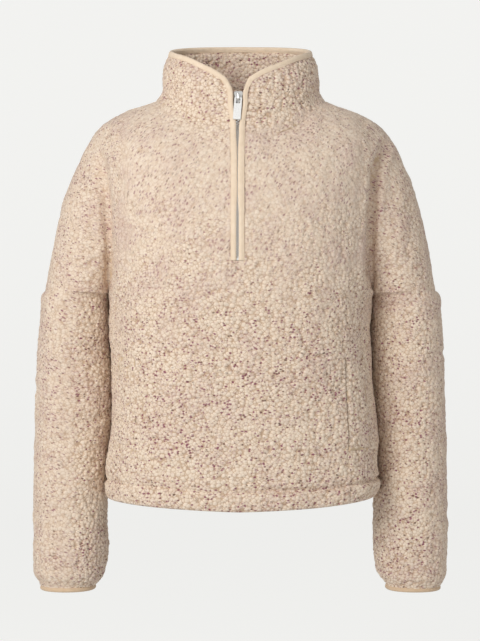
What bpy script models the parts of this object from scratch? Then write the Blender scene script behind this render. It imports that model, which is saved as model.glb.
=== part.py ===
"""Half-zip pullover in sherpa fleece, filled out as if worn, with nobody in it.

Metres, +Z up, the front faces -Y, and the wearer's left is at +X. The origin is midway between the
two shoulder neck points, where a wearer's shoulders carry the garment.

The cut is a batwing: front and back panels run out over the shoulder and down the upper arm to a
dropped seam, where a sleeve tube is sewn on. Every cloth piece is a closed wall worked out from rows
of points on its outer face, and neighbouring pieces share those points, so that seams stay GAP apart.
"""

import math

import bmesh
import bpy
import numpy as np

# ---------------------------------------------------------------- driving sizes, in metres
GAP = 0.0003  # between neighbouring pieces
FLEECE = 0.004  # the fleece's wall, pile and knitted ground together
HEM_WALL = 0.0080  # the hem is turned up, two layers
COLLAR_WALL = 0.0032  # each of the collar's two layers
COLLAR_EDGE_WALL = 0.0010  # each layer pressed thin where the collar is bound
EDGE_WALL = 2 * COLLAR_EDGE_WALL + GAP  # a single layer where it is bound

HEM_Z = -0.571
HEM_STITCH_Z = -0.543
WELT_BOTTOM_Z, WELT_TOP_Z = -0.497, -0.367
UNDERARM_Z = -0.283
DROP_SEAM_Z = -0.272  # outer end of the seam between upper arm and sleeve
FRONT_NECK_Z = -0.060
BACK_NECK_Z = 0.004
ZIP_FOOT_Z = -0.234
ZIP_X = -0.004  # the zip lies a little to the wearer's right
SEAM_BACK = 0.030  # how far back the shoulder seam runs on the upper arm

# The shoulder seam in front view, from the outer end of the dropped seam up to the neck.
SHOULDER = np.array(
    [  # x, z
        (0.2820, DROP_SEAM_Z),
        (0.2755, -0.2290),
        (0.2652, -0.1785),
        (0.2534, -0.1325),
        (0.2402, -0.0995),
        (0.2253, -0.0690),
        (0.2114, -0.0477),
        (0.1990, -0.0343),
        (0.1756, -0.0215),
        (0.1466, -0.0110),
        (0.1208, -0.0025),
    ]
)
# The torso by height.
TORSO = np.array(
    [  # z, half width, front depth, back depth
        (-0.5710, 0.1895, 0.1190, 0.1080),
        (-0.5000, 0.1910, 0.1210, 0.1110),
        (-0.4300, 0.1900, 0.1235, 0.1110),
        (-0.3500, 0.1880, 0.1275, 0.1110),
        (-0.2830, 0.1880, 0.1305, 0.1140),
        (-0.2200, 0.1895, 0.1310, 0.1175),
        (-0.1500, 0.1940, 0.1220, 0.1180),
        (-0.1000, 0.2000, 0.1090, 0.1130),
        (-0.0600, 0.2120, 0.0950, 0.1060),
        (0.0100, 0.2300, 0.0700, 0.0930),
    ]
)
TORSO_POWER = 2.35  # 2 would be an ellipse, more is boxier
# The upper arm, and the web of cloth between arm and torso, by height.
UPPER_ARM = np.array(
    [  # z, half width, half depth, web's depth off the seam
        (-0.2830, 0.0470, 0.0580, 0.0000),
        (-0.2600, 0.0475, 0.0590, 0.0120),
        (-0.2300, 0.0490, 0.0590, 0.0240),
        (-0.1800, 0.0510, 0.0570, 0.0340),
        (-0.1200, 0.0530, 0.0510, 0.0390),
        (-0.0500, 0.0560, 0.0440, 0.0420),
        (0.0100, 0.0560, 0.0400, 0.0420),
    ]
)
NECK_POWER = 2.2  # the rows turn into such ovals towards the neck
SHOULDER_ROUND = 0.064  # reach of the rounding from the shoulder seam to front and back
SOFTEN = 0.008  # how softly torso, arm and web run into each other
# The fold between torso and upper arm, followed by one column of the cloth.
FOLD = np.array(
    [  # share of the way from underarm to neck, x
        (0.00, 0.1885),
        (0.35, 0.1880),
        (0.50, 0.1900),
        (0.65, 0.1760),
        (0.80, 0.1430),
        (1.00, 0.0850),
    ]
)
# Each sleeve, from the end that the cuff binding holds up to just under the dropped seam.
SLEEVE = np.array(
    [  # z, x, y, half width, half depth
        (-0.7073, 0.2489, 0.0248, 0.0378, 0.0395),
        (-0.7000, 0.2489, 0.0252, 0.0402, 0.0418),
        (-0.6880, 0.2480, 0.0262, 0.0478, 0.0488),
        (-0.6600, 0.2465, 0.0285, 0.0525, 0.0535),
        (-0.6200, 0.2463, 0.0315, 0.0533, 0.0560),
        (-0.5400, 0.2463, 0.0360, 0.0533, 0.0585),
        (-0.4600, 0.2450, 0.0385, 0.0525, 0.0600),
        (-0.3600, 0.2430, 0.0365, 0.0507, 0.0610),
        (-0.3000, 0.2405, 0.0325, 0.0490, 0.0605),
    ]
)
SLEEVE_POWER = 2.15
SLEEVE_ROWS = np.array([-0.7073, -0.7000, -0.6880, -0.6600, -0.5850, -0.5100, -0.4300, -0.3600, -0.3000])
# Below the underarm the two sides hang unevenly and touch the sleeves: how far the torso's side lies
# further out and further back, and how much further from the torso the sleeve's inner side lies.
SWAY = {
    -1: np.array(  # the wearer's right
        [
            (-0.6000, 0.0000, 0.0000, 0.0000),
            (-0.5220, 0.0010, 0.0000, -0.0005),
            (-0.5030, -0.0015, 0.0000, -0.0030),
            (-0.4860, -0.0035, 0.0000, -0.0055),
            (-0.4620, -0.0050, 0.0000, -0.0075),
            (-0.4000, -0.0058, 0.0000, -0.0075),
            (-0.3610, -0.0025, 0.0000, -0.0045),
            (-0.3300, -0.0005, 0.0000, -0.0025),
            (-0.2900, 0.0000, 0.0000, -0.0020),
        ]
    ),
    1: np.array(
        [
            (-0.6000, 0.0000, -0.0120, 0.0000),
            (-0.5710, 0.0020, -0.0120, 0.0010),
            (-0.5500, 0.0080, -0.0120, 0.0060),
            (-0.5290, 0.0050, -0.0110, 0.0050),
            (-0.5150, 0.0038, -0.0100, 0.0045),
            (-0.4860, 0.0058, -0.0080, 0.0045),
            (-0.4440, 0.0028, -0.0050, 0.0020),
            (-0.4000, 0.0002, -0.0020, -0.0010),
            (-0.3610, 0.0000, 0.0000, -0.0015),
            (-0.3200, -0.0012, 0.0000, -0.0025),
            (-0.2900, 0.0000, 0.0000, -0.0025),
        ]
    ),
}
UNDERSEAM_ANGLE = math.radians(170)  # the sleeve's columns start and end this far round from outside
SLEEVE_RELIEF = 0.0006  # the sleeve's top keeps this much clearer of the torso

# The collar's top edge, by angle round the neck from the front.
COLLAR_TOP = np.array(
    [  # degrees, z
        (9.3, 0.0203),
        (17.0, 0.0290),
        (32.0, 0.0410),
        (46.0, 0.0510),
        (70.0, 0.0620),
        (90.0, 0.0690),
        (120.0, 0.0780),
        (150.0, 0.0840),
        (180.0, 0.0860),
    ]
)
COLLAR_HALF_WIDTH, COLLAR_FRONT, COLLAR_BACK = 0.0995, 0.0835, 0.0730
# How the collar leans in between its seam and its top.
COLLAR_LEAN = np.array(
    [  # share of the height, share of the way in
        (0.00, 0.00),
        (0.15, 0.36),
        (0.45, 0.44),
        (0.77, 0.62),
        (1.00, 1.00),
    ]
)
# Half the width of the slit for the zip, by height.
SLIT = np.array(
    [  # z, half width
        (HEM_Z, 0.0031),
        (ZIP_FOOT_Z, 0.0031),
        (-0.0600, 0.0037),
        (-0.0380, 0.0042),
        (-0.0270, 0.0058),
        (-0.0174, 0.0074),
        (0.0020, 0.0079),
        (0.0203, 0.0161),
    ]
)

BAND = 0.0070  # width of the thin cloth under a binding, where columns and a row follow the edge
# A binding's section, round the cloth's edge. It is 0.9 mm thick and reaches 6.2 mm onto the cloth.
BINDING = (  # past the edge, off the face, which face of the cloth
    (-0.0062, 0.0005, "outer"),
    (-0.0062, 0.0014, "outer"),
    (0.0003, 0.0014, "outer"),
    (0.0012, 0.0005, "outer"),
    (0.0012, 0.0005, "inner"),
    (0.0003, 0.0014, "inner"),
    (-0.0062, 0.0014, "inner"),
    (-0.0062, 0.0005, "inner"),
    (0.0003, 0.0005, "inner"),
    (0.0003, 0.0005, "outer"),
)
FACING_START = 0.2  # the facing starts this share of the way up the collar's first row

# The zip. Widths run from its middle, and depths go into the garment from the fleece's face.
TAPE_SECTION = np.array(
    [  # from the zip's middle, depth
        (0.0025, 0.0044),
        (0.0105, 0.0060),
        (0.0105, 0.0066),
        (0.0025, 0.0050),
    ]
)
TAPE_Z = (-0.2440, 0.0010)
CHAIN_HALF_WIDTH, CHAIN_DEPTH, CHAIN_Z = 0.0022, (0.0040, 0.0056), (-0.2290, -0.0060)
STOP_DEPTH, STOP_Z = (0.0038, 0.0058), (-0.2334, -0.2293)
SLIDER_Z = -0.0055  # the slider's middle
SLIDER_PLATE = np.array(
    [  # across, along
        (0.0034, -0.0075),
        (0.0048, -0.0020),
        (0.0048, 0.0045),
        (0.0028, 0.0075),
        (-0.0028, 0.0075),
        (-0.0048, 0.0045),
        (-0.0048, -0.0020),
        (-0.0034, -0.0075),
    ]
)
SLIDER_PLATES = ((0.0020, 0.0031), (0.0060, 0.0071))  # depths of the front and back plates
SLIDER_POST = (0.0012, 0.0038, 0.0072)  # half width, and start and end along the slider
BRIDGE_HALF_WIDTH = 0.0014
BRIDGE = np.array(
    [  # along, depth, of the arch that holds the pull
        (-0.0055, 0.0025),
        (-0.0055, -0.0038),
        (-0.0043, -0.0051),
        (0.0023, -0.0051),
        (0.0035, -0.0038),
        (0.0035, 0.0025),
        (0.0025, 0.0025),
        (0.0025, -0.0035),
        (0.0019, -0.0041),
        (-0.0039, -0.0041),
        (-0.0045, -0.0035),
        (-0.0045, 0.0025),
    ]
)
PULL_DEPTH = -0.0026  # the pull's middle, and its hinge
PULL_HINGE = -0.0030  # along the slider, from its middle
PULL_WALL = 0.0013
PULL_FOOT_LIFT = 0.0012  # how much further its foot stands off the zip
PULL_TILT = math.radians(2.5)  # it hangs a little askew, its foot to the wearer's right
PULL_SLOT_HALF_WIDTH = 0.0028
PULL = np.array(
    [  # along from the hinge, half width
        (-0.0310, 0.0043),
        (-0.0300, 0.0053),
        (-0.0073, 0.0053),
        (-0.0008, 0.0053),
        (0.0000, 0.0051),
        (0.0008, 0.0043),
    ]
)
PULL_SLOT_ROW = 2

WELT_WALL = 0.0018

# ---------------------------------------------------------------- rows and columns of the cloth
LOWER_ROWS = (HEM_Z, HEM_STITCH_Z, WELT_BOTTOM_Z, -0.4535, -0.4100, WELT_TOP_Z, -0.3250)
SLIT_SHARE = (ZIP_FOOT_Z - UNDERARM_Z) / (FRONT_NECK_Z - UNDERARM_Z)
UPPER_ROWS = (*np.linspace(0, SLIT_SHARE, 3), *np.linspace(SLIT_SHARE, 1, 9)[1:])
UNDERARM_ROW = len(LOWER_ROWS)
ZIP_FOOT_ROW = UNDERARM_ROW + 2
TORSO_COLUMNS = np.array([0, 0.14, 0.29, 0.43, 0.57, 0.73, 0.83, 0.92, 1])  # shares of the half girth
WELT_COLUMNS = slice(4, 6)
WELT_ROWS = slice(LOWER_ROWS.index(WELT_BOTTOM_Z), LOWER_ROWS.index(WELT_TOP_Z) + 1)
ARM_COLUMNS = 8
SIDE = len(TORSO_COLUMNS) - 1  # the column of the side seam and of the fold above it
HALF = SIDE + ARM_COLUMNS  # the outermost column, counted from the middle
FINE = 500  # points worked out on a row before its columns are spaced
COLLAR_ROWS = np.array([0.0, 0.15, 0.45, 0.77, 1.0])

MATERIALS = {  # colour, roughness, metallic
    "fleece": ("#DCC6B0", 0.95, 0.0),
    "jersey": ("#EFD9C0", 0.85, 0.0),
    "tape": ("#D8C0A6", 0.90, 0.0),
    "metal": ("#DCD9D4", 0.25, 1.0),
}


for old in list(bpy.data.objects):
    bpy.data.objects.remove(old)


# ---------------------------------------------------------------- small tools
def linear(value):
    """An sRGB channel from 0 to 1 as linear light."""
    return value / 12.92 if value <= 0.04045 else ((value + 0.055) / 1.055) ** 2.4


def material(name):
    """The Principled material of that name, made on first use."""
    if name in bpy.data.materials:
        return bpy.data.materials[name]
    colour, roughness, metallic = MATERIALS[name]
    made = bpy.data.materials.new(name)
    made.use_nodes = True
    shader = made.node_tree.nodes["Principled BSDF"]
    channels = [linear(int(colour[i : i + 2], 16) / 255) for i in (1, 3, 5)]
    shader.inputs["Base Color"].default_value = (*channels, 1)
    shader.inputs["Roughness"].default_value = roughness
    shader.inputs["Metallic"].default_value = metallic
    return made


def read_table(table, at):
    """The table's other columns at values of its first, on a smooth curve through the rows."""
    keys, rows = table[:, 0], table[:, 1:]
    at = np.clip(np.asarray(at, float), keys[0], keys[-1])
    slopes = np.gradient(rows, keys, axis=0)
    i = np.clip(np.searchsorted(keys, at, side="right") - 1, 0, len(keys) - 2)
    step = (keys[i + 1] - keys[i])[..., None]
    s = (at - keys[i])[..., None] / step
    rise = rows[i + 1] - rows[i]
    bend = (1 - s) * (slopes[i] * step - rise) + s * (rise - slopes[i + 1] * step)
    found = rows[i] + s * rise + s * (1 - s) * bend
    return found[..., 0] if rows.shape[1] == 1 else np.moveaxis(found, -1, 0)


def lengths_along(points):
    """The length from the first point of a line to each of its points."""
    return np.concatenate([[0], np.cumsum(np.linalg.norm(np.diff(points, axis=0), axis=1))])


def spaced(points, at):
    """The points of a line at the given lengths along it."""
    along = lengths_along(points)
    return np.stack([np.interp(at, along, points[:, k]) for k in range(points.shape[1])], axis=1)


def soft_max(a, b):
    """The larger of two depths, with the change from one to the other softened."""
    return (a + b + np.sqrt((a - b) ** 2 + SOFTEN**2)) / 2


def ease(share):
    """0 to 1 with no slope at either end."""
    share = np.clip(share, 0, 1)
    return share * share * (3 - 2 * share)


def unit(vectors):
    return vectors / np.maximum(np.linalg.norm(vectors, axis=-1, keepdims=True), 1e-12)


def make_object(name, points, faces, finish):
    """A smooth-shaded object, closed, with its faces pointing out."""
    mesh = bpy.data.meshes.new(name)
    mesh.from_pydata([tuple(p) for p in points], [], [tuple(f) for f in faces])
    shaped = bmesh.new()
    shaped.from_mesh(mesh)
    bmesh.ops.recalc_face_normals(shaped, faces=shaped.faces)
    shaped.to_mesh(mesh)
    shaped.free()
    mesh.shade_smooth()
    mesh.set_sharp_from_angle(angle=math.radians(40))
    mesh.materials.append(material(finish))
    made = bpy.data.objects.new(name, mesh)
    bpy.context.scene.collection.objects.link(made)
    return made


def walled(name, outer, inner, finish, closed=False, missing=()):
    """A wall between two grids of points, with its rims closed.

    Rows run up and columns run so that columns x rows points out of the wall's outer side. Cells in
    missing, as (row, column), are left open, and closed joins the last column to the first.
    """
    rows, columns = outer.shape[:2]
    number = np.arange(rows * columns).reshape(rows, columns)
    behind = rows * columns
    cells = []
    for r in range(rows - 1):
        for c in range(columns if closed else columns - 1):
            if (r, c) not in missing:
                right = (c + 1) % columns
                cells.append((number[r, c], number[r, right], number[r + 1, right]))
                cells.append((number[r, c], number[r + 1, right], number[r + 1, c]))
    edges = {(cell[k], cell[(k + 1) % 3]) for cell in cells for k in range(3)}
    back = [tuple(p + behind for p in reversed(cell)) for cell in cells]
    rims = [(b, a, a + behind, b + behind) for a, b in sorted(edges) if (b, a) not in edges]
    faces = cells + back + rims
    used = sorted({p for face in faces for p in face})
    place = {p: i for i, p in enumerate(used)}
    points = np.concatenate([outer.reshape(-1, 3), inner.reshape(-1, 3)])[used]
    return make_object(name, points, [[place[p] for p in face] for face in faces], finish)


def lofted(name, sections, finish, closed=False):
    """A closed body through sections that all run the same way round, capped unless it is closed."""
    stations, count = sections.shape[:2]
    number = np.arange(stations * count).reshape(stations, count)
    faces = [
        (
            number[s, k],
            number[s, (k + 1) % count],
            number[(s + 1) % stations, (k + 1) % count],
            number[(s + 1) % stations, k],
        )
        for s in range(stations if closed else stations - 1)
        for k in range(count)
    ]
    if not closed:
        faces += [tuple(number[0, ::-1]), tuple(number[-1])]
    return make_object(name, sections.reshape(-1, 3), faces, finish)


def unite(parts):
    """Merge overlapping objects into the first of them."""
    whole = parts[0]
    for part in parts[1:]:
        joining = whole.modifiers.new("join", "BOOLEAN")
        joining.operation, joining.solver, joining.object = "UNION", "EXACT", part
    bpy.context.view_layer.update()
    shaped = bpy.data.meshes.new_from_object(whole.evaluated_get(bpy.context.evaluated_depsgraph_get()))
    whole.modifiers.clear()
    whole.data = shaped
    for part in parts[1:]:
        bpy.data.objects.remove(part)


# ---------------------------------------------------------------- form of the body
def shoulder_line():
    """The shoulder seam as a fine line in front view, evenly spaced from dropped seam to neck."""
    knots = np.concatenate([lengths_along(SHOULDER)[:, None], SHOULDER], axis=1)
    fine = np.stack(read_table(knots, np.linspace(0, knots[-1, 0], FINE)), axis=1)
    return spaced(fine, np.linspace(0, lengths_along(fine)[-1], FINE))


SHOULDER_LINE = shoulder_line()


def on_shoulder(share):
    """Point and outward direction of the shoulder seam in front view."""
    i = int(round(share * (FINE - 1)))
    run = SHOULDER_LINE[min(i + 1, FINE - 1)] - SHOULDER_LINE[max(i - 1, 0)]
    return SHOULDER_LINE[i], unit(np.array([run[1], -run[0]]))


def seam_y(x):
    """How far back the side and shoulder seams lie."""
    return SEAM_BACK * ease((np.abs(x) - 0.10) / 0.17)


def shoulder_distance(x, z):
    """Distance in front view from the shoulder seam, run on straight past the neck."""
    past_neck = SHOULDER_LINE[-1] + 0.2 * unit(SHOULDER_LINE[-1] - SHOULDER_LINE[-15])
    line = np.concatenate([SHOULDER_LINE[::5], SHOULDER_LINE[-1:], past_neck[None]])
    start, run = line[:-1], np.diff(line, axis=0)
    to = np.stack([np.abs(x), z], axis=-1)[..., None, :] - start
    share = np.clip((to * run).sum(-1) / (run * run).sum(-1), 0, 1)
    return np.linalg.norm(to - share[..., None] * run, axis=-1).min(-1)


def quarter_round(distance, reach):
    """0 at the edge and 1 at reach from it, as a quarter circle, and 0 again at twice that."""
    return np.sqrt(np.clip(1 - (1 - distance / reach) ** 2, 0, 1))


def torso_depth(x, z, face):
    """How far the torso stands off the seams' surface. face is -1 for the front, 1 for the back."""
    width, front, back = read_table(TORSO, z)
    middle = front + seam_y(x) if face < 0 else back - seam_y(x)
    return middle * np.clip(1 - (np.abs(x) / width) ** TORSO_POWER, 0, 1) ** (1 / TORSO_POWER)


def upper_depth(x, z, face):
    """How far torso, web and upper arm together stand off the seams' surface."""
    arm_width, arm_depth, web = read_table(UPPER_ARM, z)
    away = shoulder_distance(x, z)
    rounding = quarter_round(np.minimum(away, SHOULDER_ROUND), SHOULDER_ROUND)
    arm = arm_depth * quarter_round(np.minimum(away, 2 * arm_width), arm_width)
    return soft_max(soft_max(torso_depth(x, z, face), web) * rounding, arm) * ease(away / SOFTEN + 0.3)


def upper_row(share, face, start):
    """A row above the underarm, from the middle out to the shoulder seam. share is 0 at the dropped
    seam and 1 at the neck."""
    (end_x, end_z), _ = on_shoulder(share)
    neck_z, bow = (FRONT_NECK_Z, 1 + 1.8 * share) if face < 0 else (BACK_NECK_Z, 1 + share)
    middle_z = UNDERARM_Z + share * (neck_z - UNDERARM_Z)
    x = start + (end_x - start) * (1 - (1 - np.linspace(0, 1, FINE)) ** 2)
    z = middle_z + (end_z - middle_z) * (np.abs(x) / end_x) ** bow
    stand = upper_depth(x, z, face)
    oval = stand[0] * np.clip(1 - (np.abs(x) / end_x) ** NECK_POWER, 0, 1) ** (1 / NECK_POWER)
    stand += (oval - stand) * ease(2 * share - 1)
    stand[-1] = 0
    line = np.stack([x, seam_y(x) + face * (GAP / 2 + stand), z], axis=1)
    along = lengths_along(line)
    fold = np.interp(read_table(FOLD, share), x, along)
    arm = np.linspace(fold, along[-1], ARM_COLUMNS + 1)[1:]
    return spaced(line, np.concatenate([fold * TORSO_COLUMNS, arm]))


def lower_row(z, face, start):
    """A row below the underarm, from the middle to the side seam. The arm's columns repeat the side
    seam, and no cell uses them."""
    width = read_table(TORSO, z)[0]
    x = start + (width - start) * (1 - (1 - np.linspace(0, 1, FINE)) ** 2)
    y = seam_y(x) + face * (GAP / 2 + torso_depth(x, np.full(FINE, z), face))
    line = np.stack([x, y, np.full(FINE, z)], axis=1)
    row = spaced(line, lengths_along(line)[-1] * TORSO_COLUMNS)
    return np.concatenate([row, np.repeat(row[-1:], ARM_COLUMNS, axis=0)])


def swayed(row, z, side):
    """A row below the underarm with its side moved to where it hangs."""
    out, back, _ = read_table(SWAY[side], z)
    share = ease((row[:, :1] / read_table(TORSO, z)[0] - 0.5) / 0.5)
    return row + share * (out, back, 0)


def half_panel(face, side):
    """The outer face of half a panel, rows up and columns from the middle out."""
    heights = [*LOWER_ROWS, *(UNDERARM_Z + s * (FRONT_NECK_Z - UNDERARM_Z) for s in UPPER_ROWS)]
    starts = [side * ZIP_X + read_table(SLIT, z) if face < 0 else 0.0 for z in heights]
    rows = [swayed(lower_row(z, face, start), z, side) for z, start in zip(LOWER_ROWS, starts)]
    rows += [upper_row(s, face, start) for s, start in zip(UPPER_ROWS, starts[UNDERARM_ROW:])]
    grid = np.array(rows) * (side, 1, 1)
    # The collar has fewer columns, so the points between them lie straight between their neighbours.
    grid[-1, 3::2] = (grid[-1, 2:-1:2] + grid[-1, 4::2]) / 2
    grid[-1, 1] = grid[-1, 0] + BAND * unit(grid[-1, 2] - grid[-1, 0])
    return grid


def join_halves(right, left, face):
    """The two halves of a panel as one grid whose columns x rows points out of the garment."""
    if face < 0:
        return np.concatenate([right[:, ::-1], left], axis=1)
    return np.concatenate([left[:, ::-1], right[:, 1:]], axis=1)


def grid_normals(points):
    """Directions out of the cloth at a grid's points, from its neighbours."""
    return unit(np.cross(np.gradient(points, axis=1), np.gradient(points, axis=0)))


OUTER = {(face, side): half_panel(face, side) for face in (-1, 1) for side in (-1, 1)}


def arm_ring(side):
    """The upper arm's end at the dropped seam: its points from the fold, round the front and the
    outside, to the fold at the back, and their directions out."""
    front, back = (OUTER[face, side][UNDERARM_ROW, SIDE:] for face in (-1, 1))
    ring = np.concatenate([front[:-1], (front[-1:] + back[-1:]) / 2, back[-2::-1]])
    run = np.roll(ring, -1, axis=0) - np.roll(ring, 1, axis=0)
    return ring, side * unit(np.stack([run[:, 1], -run[:, 0], 0 * run[:, 0]], axis=1))


# ---------------------------------------------------------------- form of the collar
# The panels' columns that run on into the collar, and where each half panel's lie along the collar,
# which runs from the zip round by the wearer's left and the back to the zip again.
NECK_COLUMNS = np.array([0, 1, *range(2, HALF + 1, 2)])
QUARTER = len(NECK_COLUMNS) - 1
NECK_PARTS = {
    (-1, 1): slice(0, QUARTER + 1),
    (1, 1): slice(2 * QUARTER, QUARTER - 1, -1),
    (1, -1): slice(2 * QUARTER, 3 * QUARTER + 1),
    (-1, -1): slice(4 * QUARTER, 3 * QUARTER - 1, -1),
}


def round_neck(halves):
    """The top rows of the four half panels as one run at the collar's columns."""
    total, count = np.zeros((4 * QUARTER + 1, 3)), np.zeros((4 * QUARTER + 1, 1))
    for key, part in NECK_PARTS.items():
        total[part] += halves[key][-1, NECK_COLUMNS]
        count[part] += 1
    return total / count


def collar_face():
    """The collar's outer face: rows up from the neck seam, leaning in to the top edge."""
    base = round_neck(OUTER)
    degrees = np.linspace(COLLAR_TOP[0, 0], 360 - COLLAR_TOP[0, 0], FINE)
    turn = np.radians(degrees)
    reach = np.where(np.cos(turn) > 0, COLLAR_FRONT, COLLAR_BACK)
    z = read_table(COLLAR_TOP, np.minimum(degrees, 360 - degrees))
    line = np.stack([COLLAR_HALF_WIDTH * np.sin(turn), -reach * np.cos(turn), z], axis=1)
    share = lengths_along(base) / lengths_along(base)[-1]
    top = spaced(line, share * lengths_along(line)[-1])
    top[:, 0] += ZIP_X * (1 - ease(8 * np.minimum(share, 1 - share)))
    lean = read_table(COLLAR_LEAN, COLLAR_ROWS)
    shares = np.stack([lean, lean, COLLAR_ROWS], axis=1)[:, None]
    face = base + shares * (top - base)
    for column, side in ((0, 1), (-1, -1)):
        face[:, column, 0] = ZIP_X + side * read_table(SLIT, face[:, column, 2])
    return face


def neighbours(face):
    """For the edge points of a grid, the points next to them inside it."""
    inside = face.copy()
    inside[:, 0], inside[:, -1] = face[:, 1], face[:, -2]
    inside[-1] = inside[-2]
    return inside


def inwards(edge, towards, closed=False):
    """For points along a cloth's edge, vectors into the cloth towards the given points, mitred so that
    lines drawn through their ends keep the edge's distance, and the directions along the edge."""
    ahead = unit(np.roll(edge, -1, axis=0) - edge)
    if not closed:
        ahead[-1] = ahead[-2]
    behind = np.roll(ahead, 1, axis=0)
    if not closed:
        behind[0] = ahead[0]
    span = towards - edge
    first, second = (unit(span - (span * run).sum(-1, keepdims=True) * run) for run in (behind, ahead))
    return (first + second) / (1 + (first * second).sum(-1, keepdims=True)), unit(ahead + behind)


def add_band(face):
    """Lay a column along each zip edge and a new row along the top edge, all BAND in from the edge."""
    rows = len(face)
    path, towards = (np.concatenate([g[:, 0], g[-1, 1:-1], g[::-1, -1]]) for g in (face, neighbours(face)))
    band = path + BAND * inwards(path, towards)[0]
    new = np.insert(face, -1, 0, axis=0)
    new[-2, 2:-2] = band[rows + 1 : -rows - 1]
    for edge, near, points in ((0, 1, band[:rows]), (-1, -2, band[: -rows - 1 : -1])):
        new[1:-2, near], new[-2, near] = points[1:-1], points[-1]
        corner = face[-1, edge]
        run = unit(face[-2, edge] - corner), unit(face[-1, 2 * near - edge] - corner)
        reach = points[-1] - corner
        new[-2, edge] = corner + (reach @ run[0]) * run[0]
        new[-1, near] = corner + (reach @ run[1]) * run[1]
    return new


def panel_out(face, side):
    """Directions from the inner to the outer face of half a panel."""
    order = -face * side
    out = grid_normals(OUTER[face, side][:, ::order])[:, ::order].copy()
    out[0, :, 2] = 0
    if face < 0:
        out[:, 0, 0] = 0
    for row, share in enumerate(UPPER_ROWS, UNDERARM_ROW):
        across, up = on_shoulder(share)[1]
        out[row, HALF] = (side * across, 0, up)
    out[:UNDERARM_ROW, SIDE:] = (side, 0, 0)
    ring_out = arm_ring(side)[1]
    out[UNDERARM_ROW, SIDE:] = (ring_out if face < 0 else ring_out[::-1])[: ARM_COLUMNS + 1]
    return unit(out)


# At the neck seam the panels' and the collar's edges meet in a mitre.
COLLAR = add_band(collar_face())
COLLAR_OUT = grid_normals(COLLAR)
COLLAR_OUT[:, (0, -1), 0] = 0
PANEL_OUT = {key: panel_out(*key) for key in OUTER}
NECK_OUT = unit(round_neck(PANEL_OUT) + unit(COLLAR_OUT[0]))
COLLAR_OUT[0] = NECK_OUT
COLLAR_OUT = unit(COLLAR_OUT)
COLLAR[0] += GAP * unit(np.cross(NECK_OUT, np.gradient(COLLAR[0], axis=0)))
for key, part in NECK_PARTS.items():
    PANEL_OUT[key][-1, NECK_COLUMNS] = NECK_OUT[part]
    PANEL_OUT[key][-1, 3::2] = unit(NECK_OUT[part][2:-1] + NECK_OUT[part][3:])


def panel_inner(face, side):
    """The inner face of half a panel."""
    outer = OUTER[face, side]
    wall = np.full(outer.shape[:2], FLEECE)
    wall[:2] = HEM_WALL
    if face < 0:
        wall[ZIP_FOOT_ROW:, 0] = wall[-1, 1] = EDGE_WALL
    inner = outer - PANEL_OUT[face, side] * wall[..., None]
    # Where the fold meets the underarm the wall reaches back to the other panel's.
    inner[UNDERARM_ROW, SIDE] = outer[UNDERARM_ROW, SIDE]
    inner[UNDERARM_ROW, SIDE, 1] = seam_y(outer[UNDERARM_ROW, SIDE, 0]) + face * GAP / 2
    return inner


INNER = {key: panel_inner(*key) for key in OUTER}


# ---------------------------------------------------------------- front and back
def make_panel(name, face):
    """The front (-1) or back (1) panel, from hem to neck and out to both dropped seams."""
    outer, inner = (join_halves(half[face, -1], half[face, 1], face) for half in (OUTER, INNER))
    last = outer.shape[1] - 2
    missing = {(row, c) for row in range(UNDERARM_ROW) for c in range(ARM_COLUMNS)}
    missing |= {(row, last - c) for row, c in missing}
    if face < 0:
        missing |= {(row, HALF) for row in range(ZIP_FOOT_ROW, len(outer) - 1)}
    walled(name, outer, inner, "fleece", missing=missing)


def make_welt(name, side):
    """The strip along a pocket, laid on the front panel's face."""
    panel = OUTER[-1, side][WELT_ROWS, WELT_COLUMNS][:, ::side]
    out = grid_normals(panel)
    walled(name, panel + (GAP + WELT_WALL) * out, panel + GAP * out, "fleece")


# ---------------------------------------------------------------- collar, in two layers
def collar_layers():
    """Outer and inner faces of the collar and of its facing."""
    wall = np.full((*COLLAR.shape[:2], 1), COLLAR_WALL)
    wall[-2:] = wall[:, (0, 1, -2, -1)] = COLLAR_EDGE_WALL
    faces = [COLLAR - COLLAR_OUT * depth for depth in (0, wall, wall + GAP, 2 * wall + GAP)]
    for facing in faces[2:]:
        facing[0] += FACING_START * (facing[1] - facing[0])
    return faces


# ---------------------------------------------------------------- bindings
def make_binding(name, outer, inner, closed=False):
    """A strip folded over a cloth's edge.

    outer and inner each hold the edge's points on one face of the cloth and their neighbours inside it.
    Seen from outside, the cloth lies to the right of the way the points run.
    """
    faces = {}
    for face, (edge, towards) in (("outer", outer), ("inner", inner)):
        inward, run = inwards(edge, towards, closed)
        out = unit(np.cross(inward, run))
        faces[face] = edge, inward, out if face == "outer" else -out
    sections = [faces[f][0] - past * faces[f][1] + off * faces[f][2] for past, off, f in BINDING]
    lofted(name, np.stack(sections, axis=1), "jersey", closed)


def zip_and_collar_edge(panels, collar):
    """The bound edge of one face of the cloth: from the foot of the slit up its left side, round the
    collar's top and down the right side. Returns its points and their neighbours."""
    path = []
    for column, grid in ((0, collar), (1, neighbours(collar))):
        left, right = (panels[-1, side][ZIP_FOOT_ROW:, column].copy() for side in (1, -1))
        for line in (left, right):
            line[0] += GAP * unit(line[1] - line[0])
        path.append(np.concatenate([left, grid[1:, 0], grid[-1, 1:-1], grid[:0:-1, -1], right[::-1]]))
    return path


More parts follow.
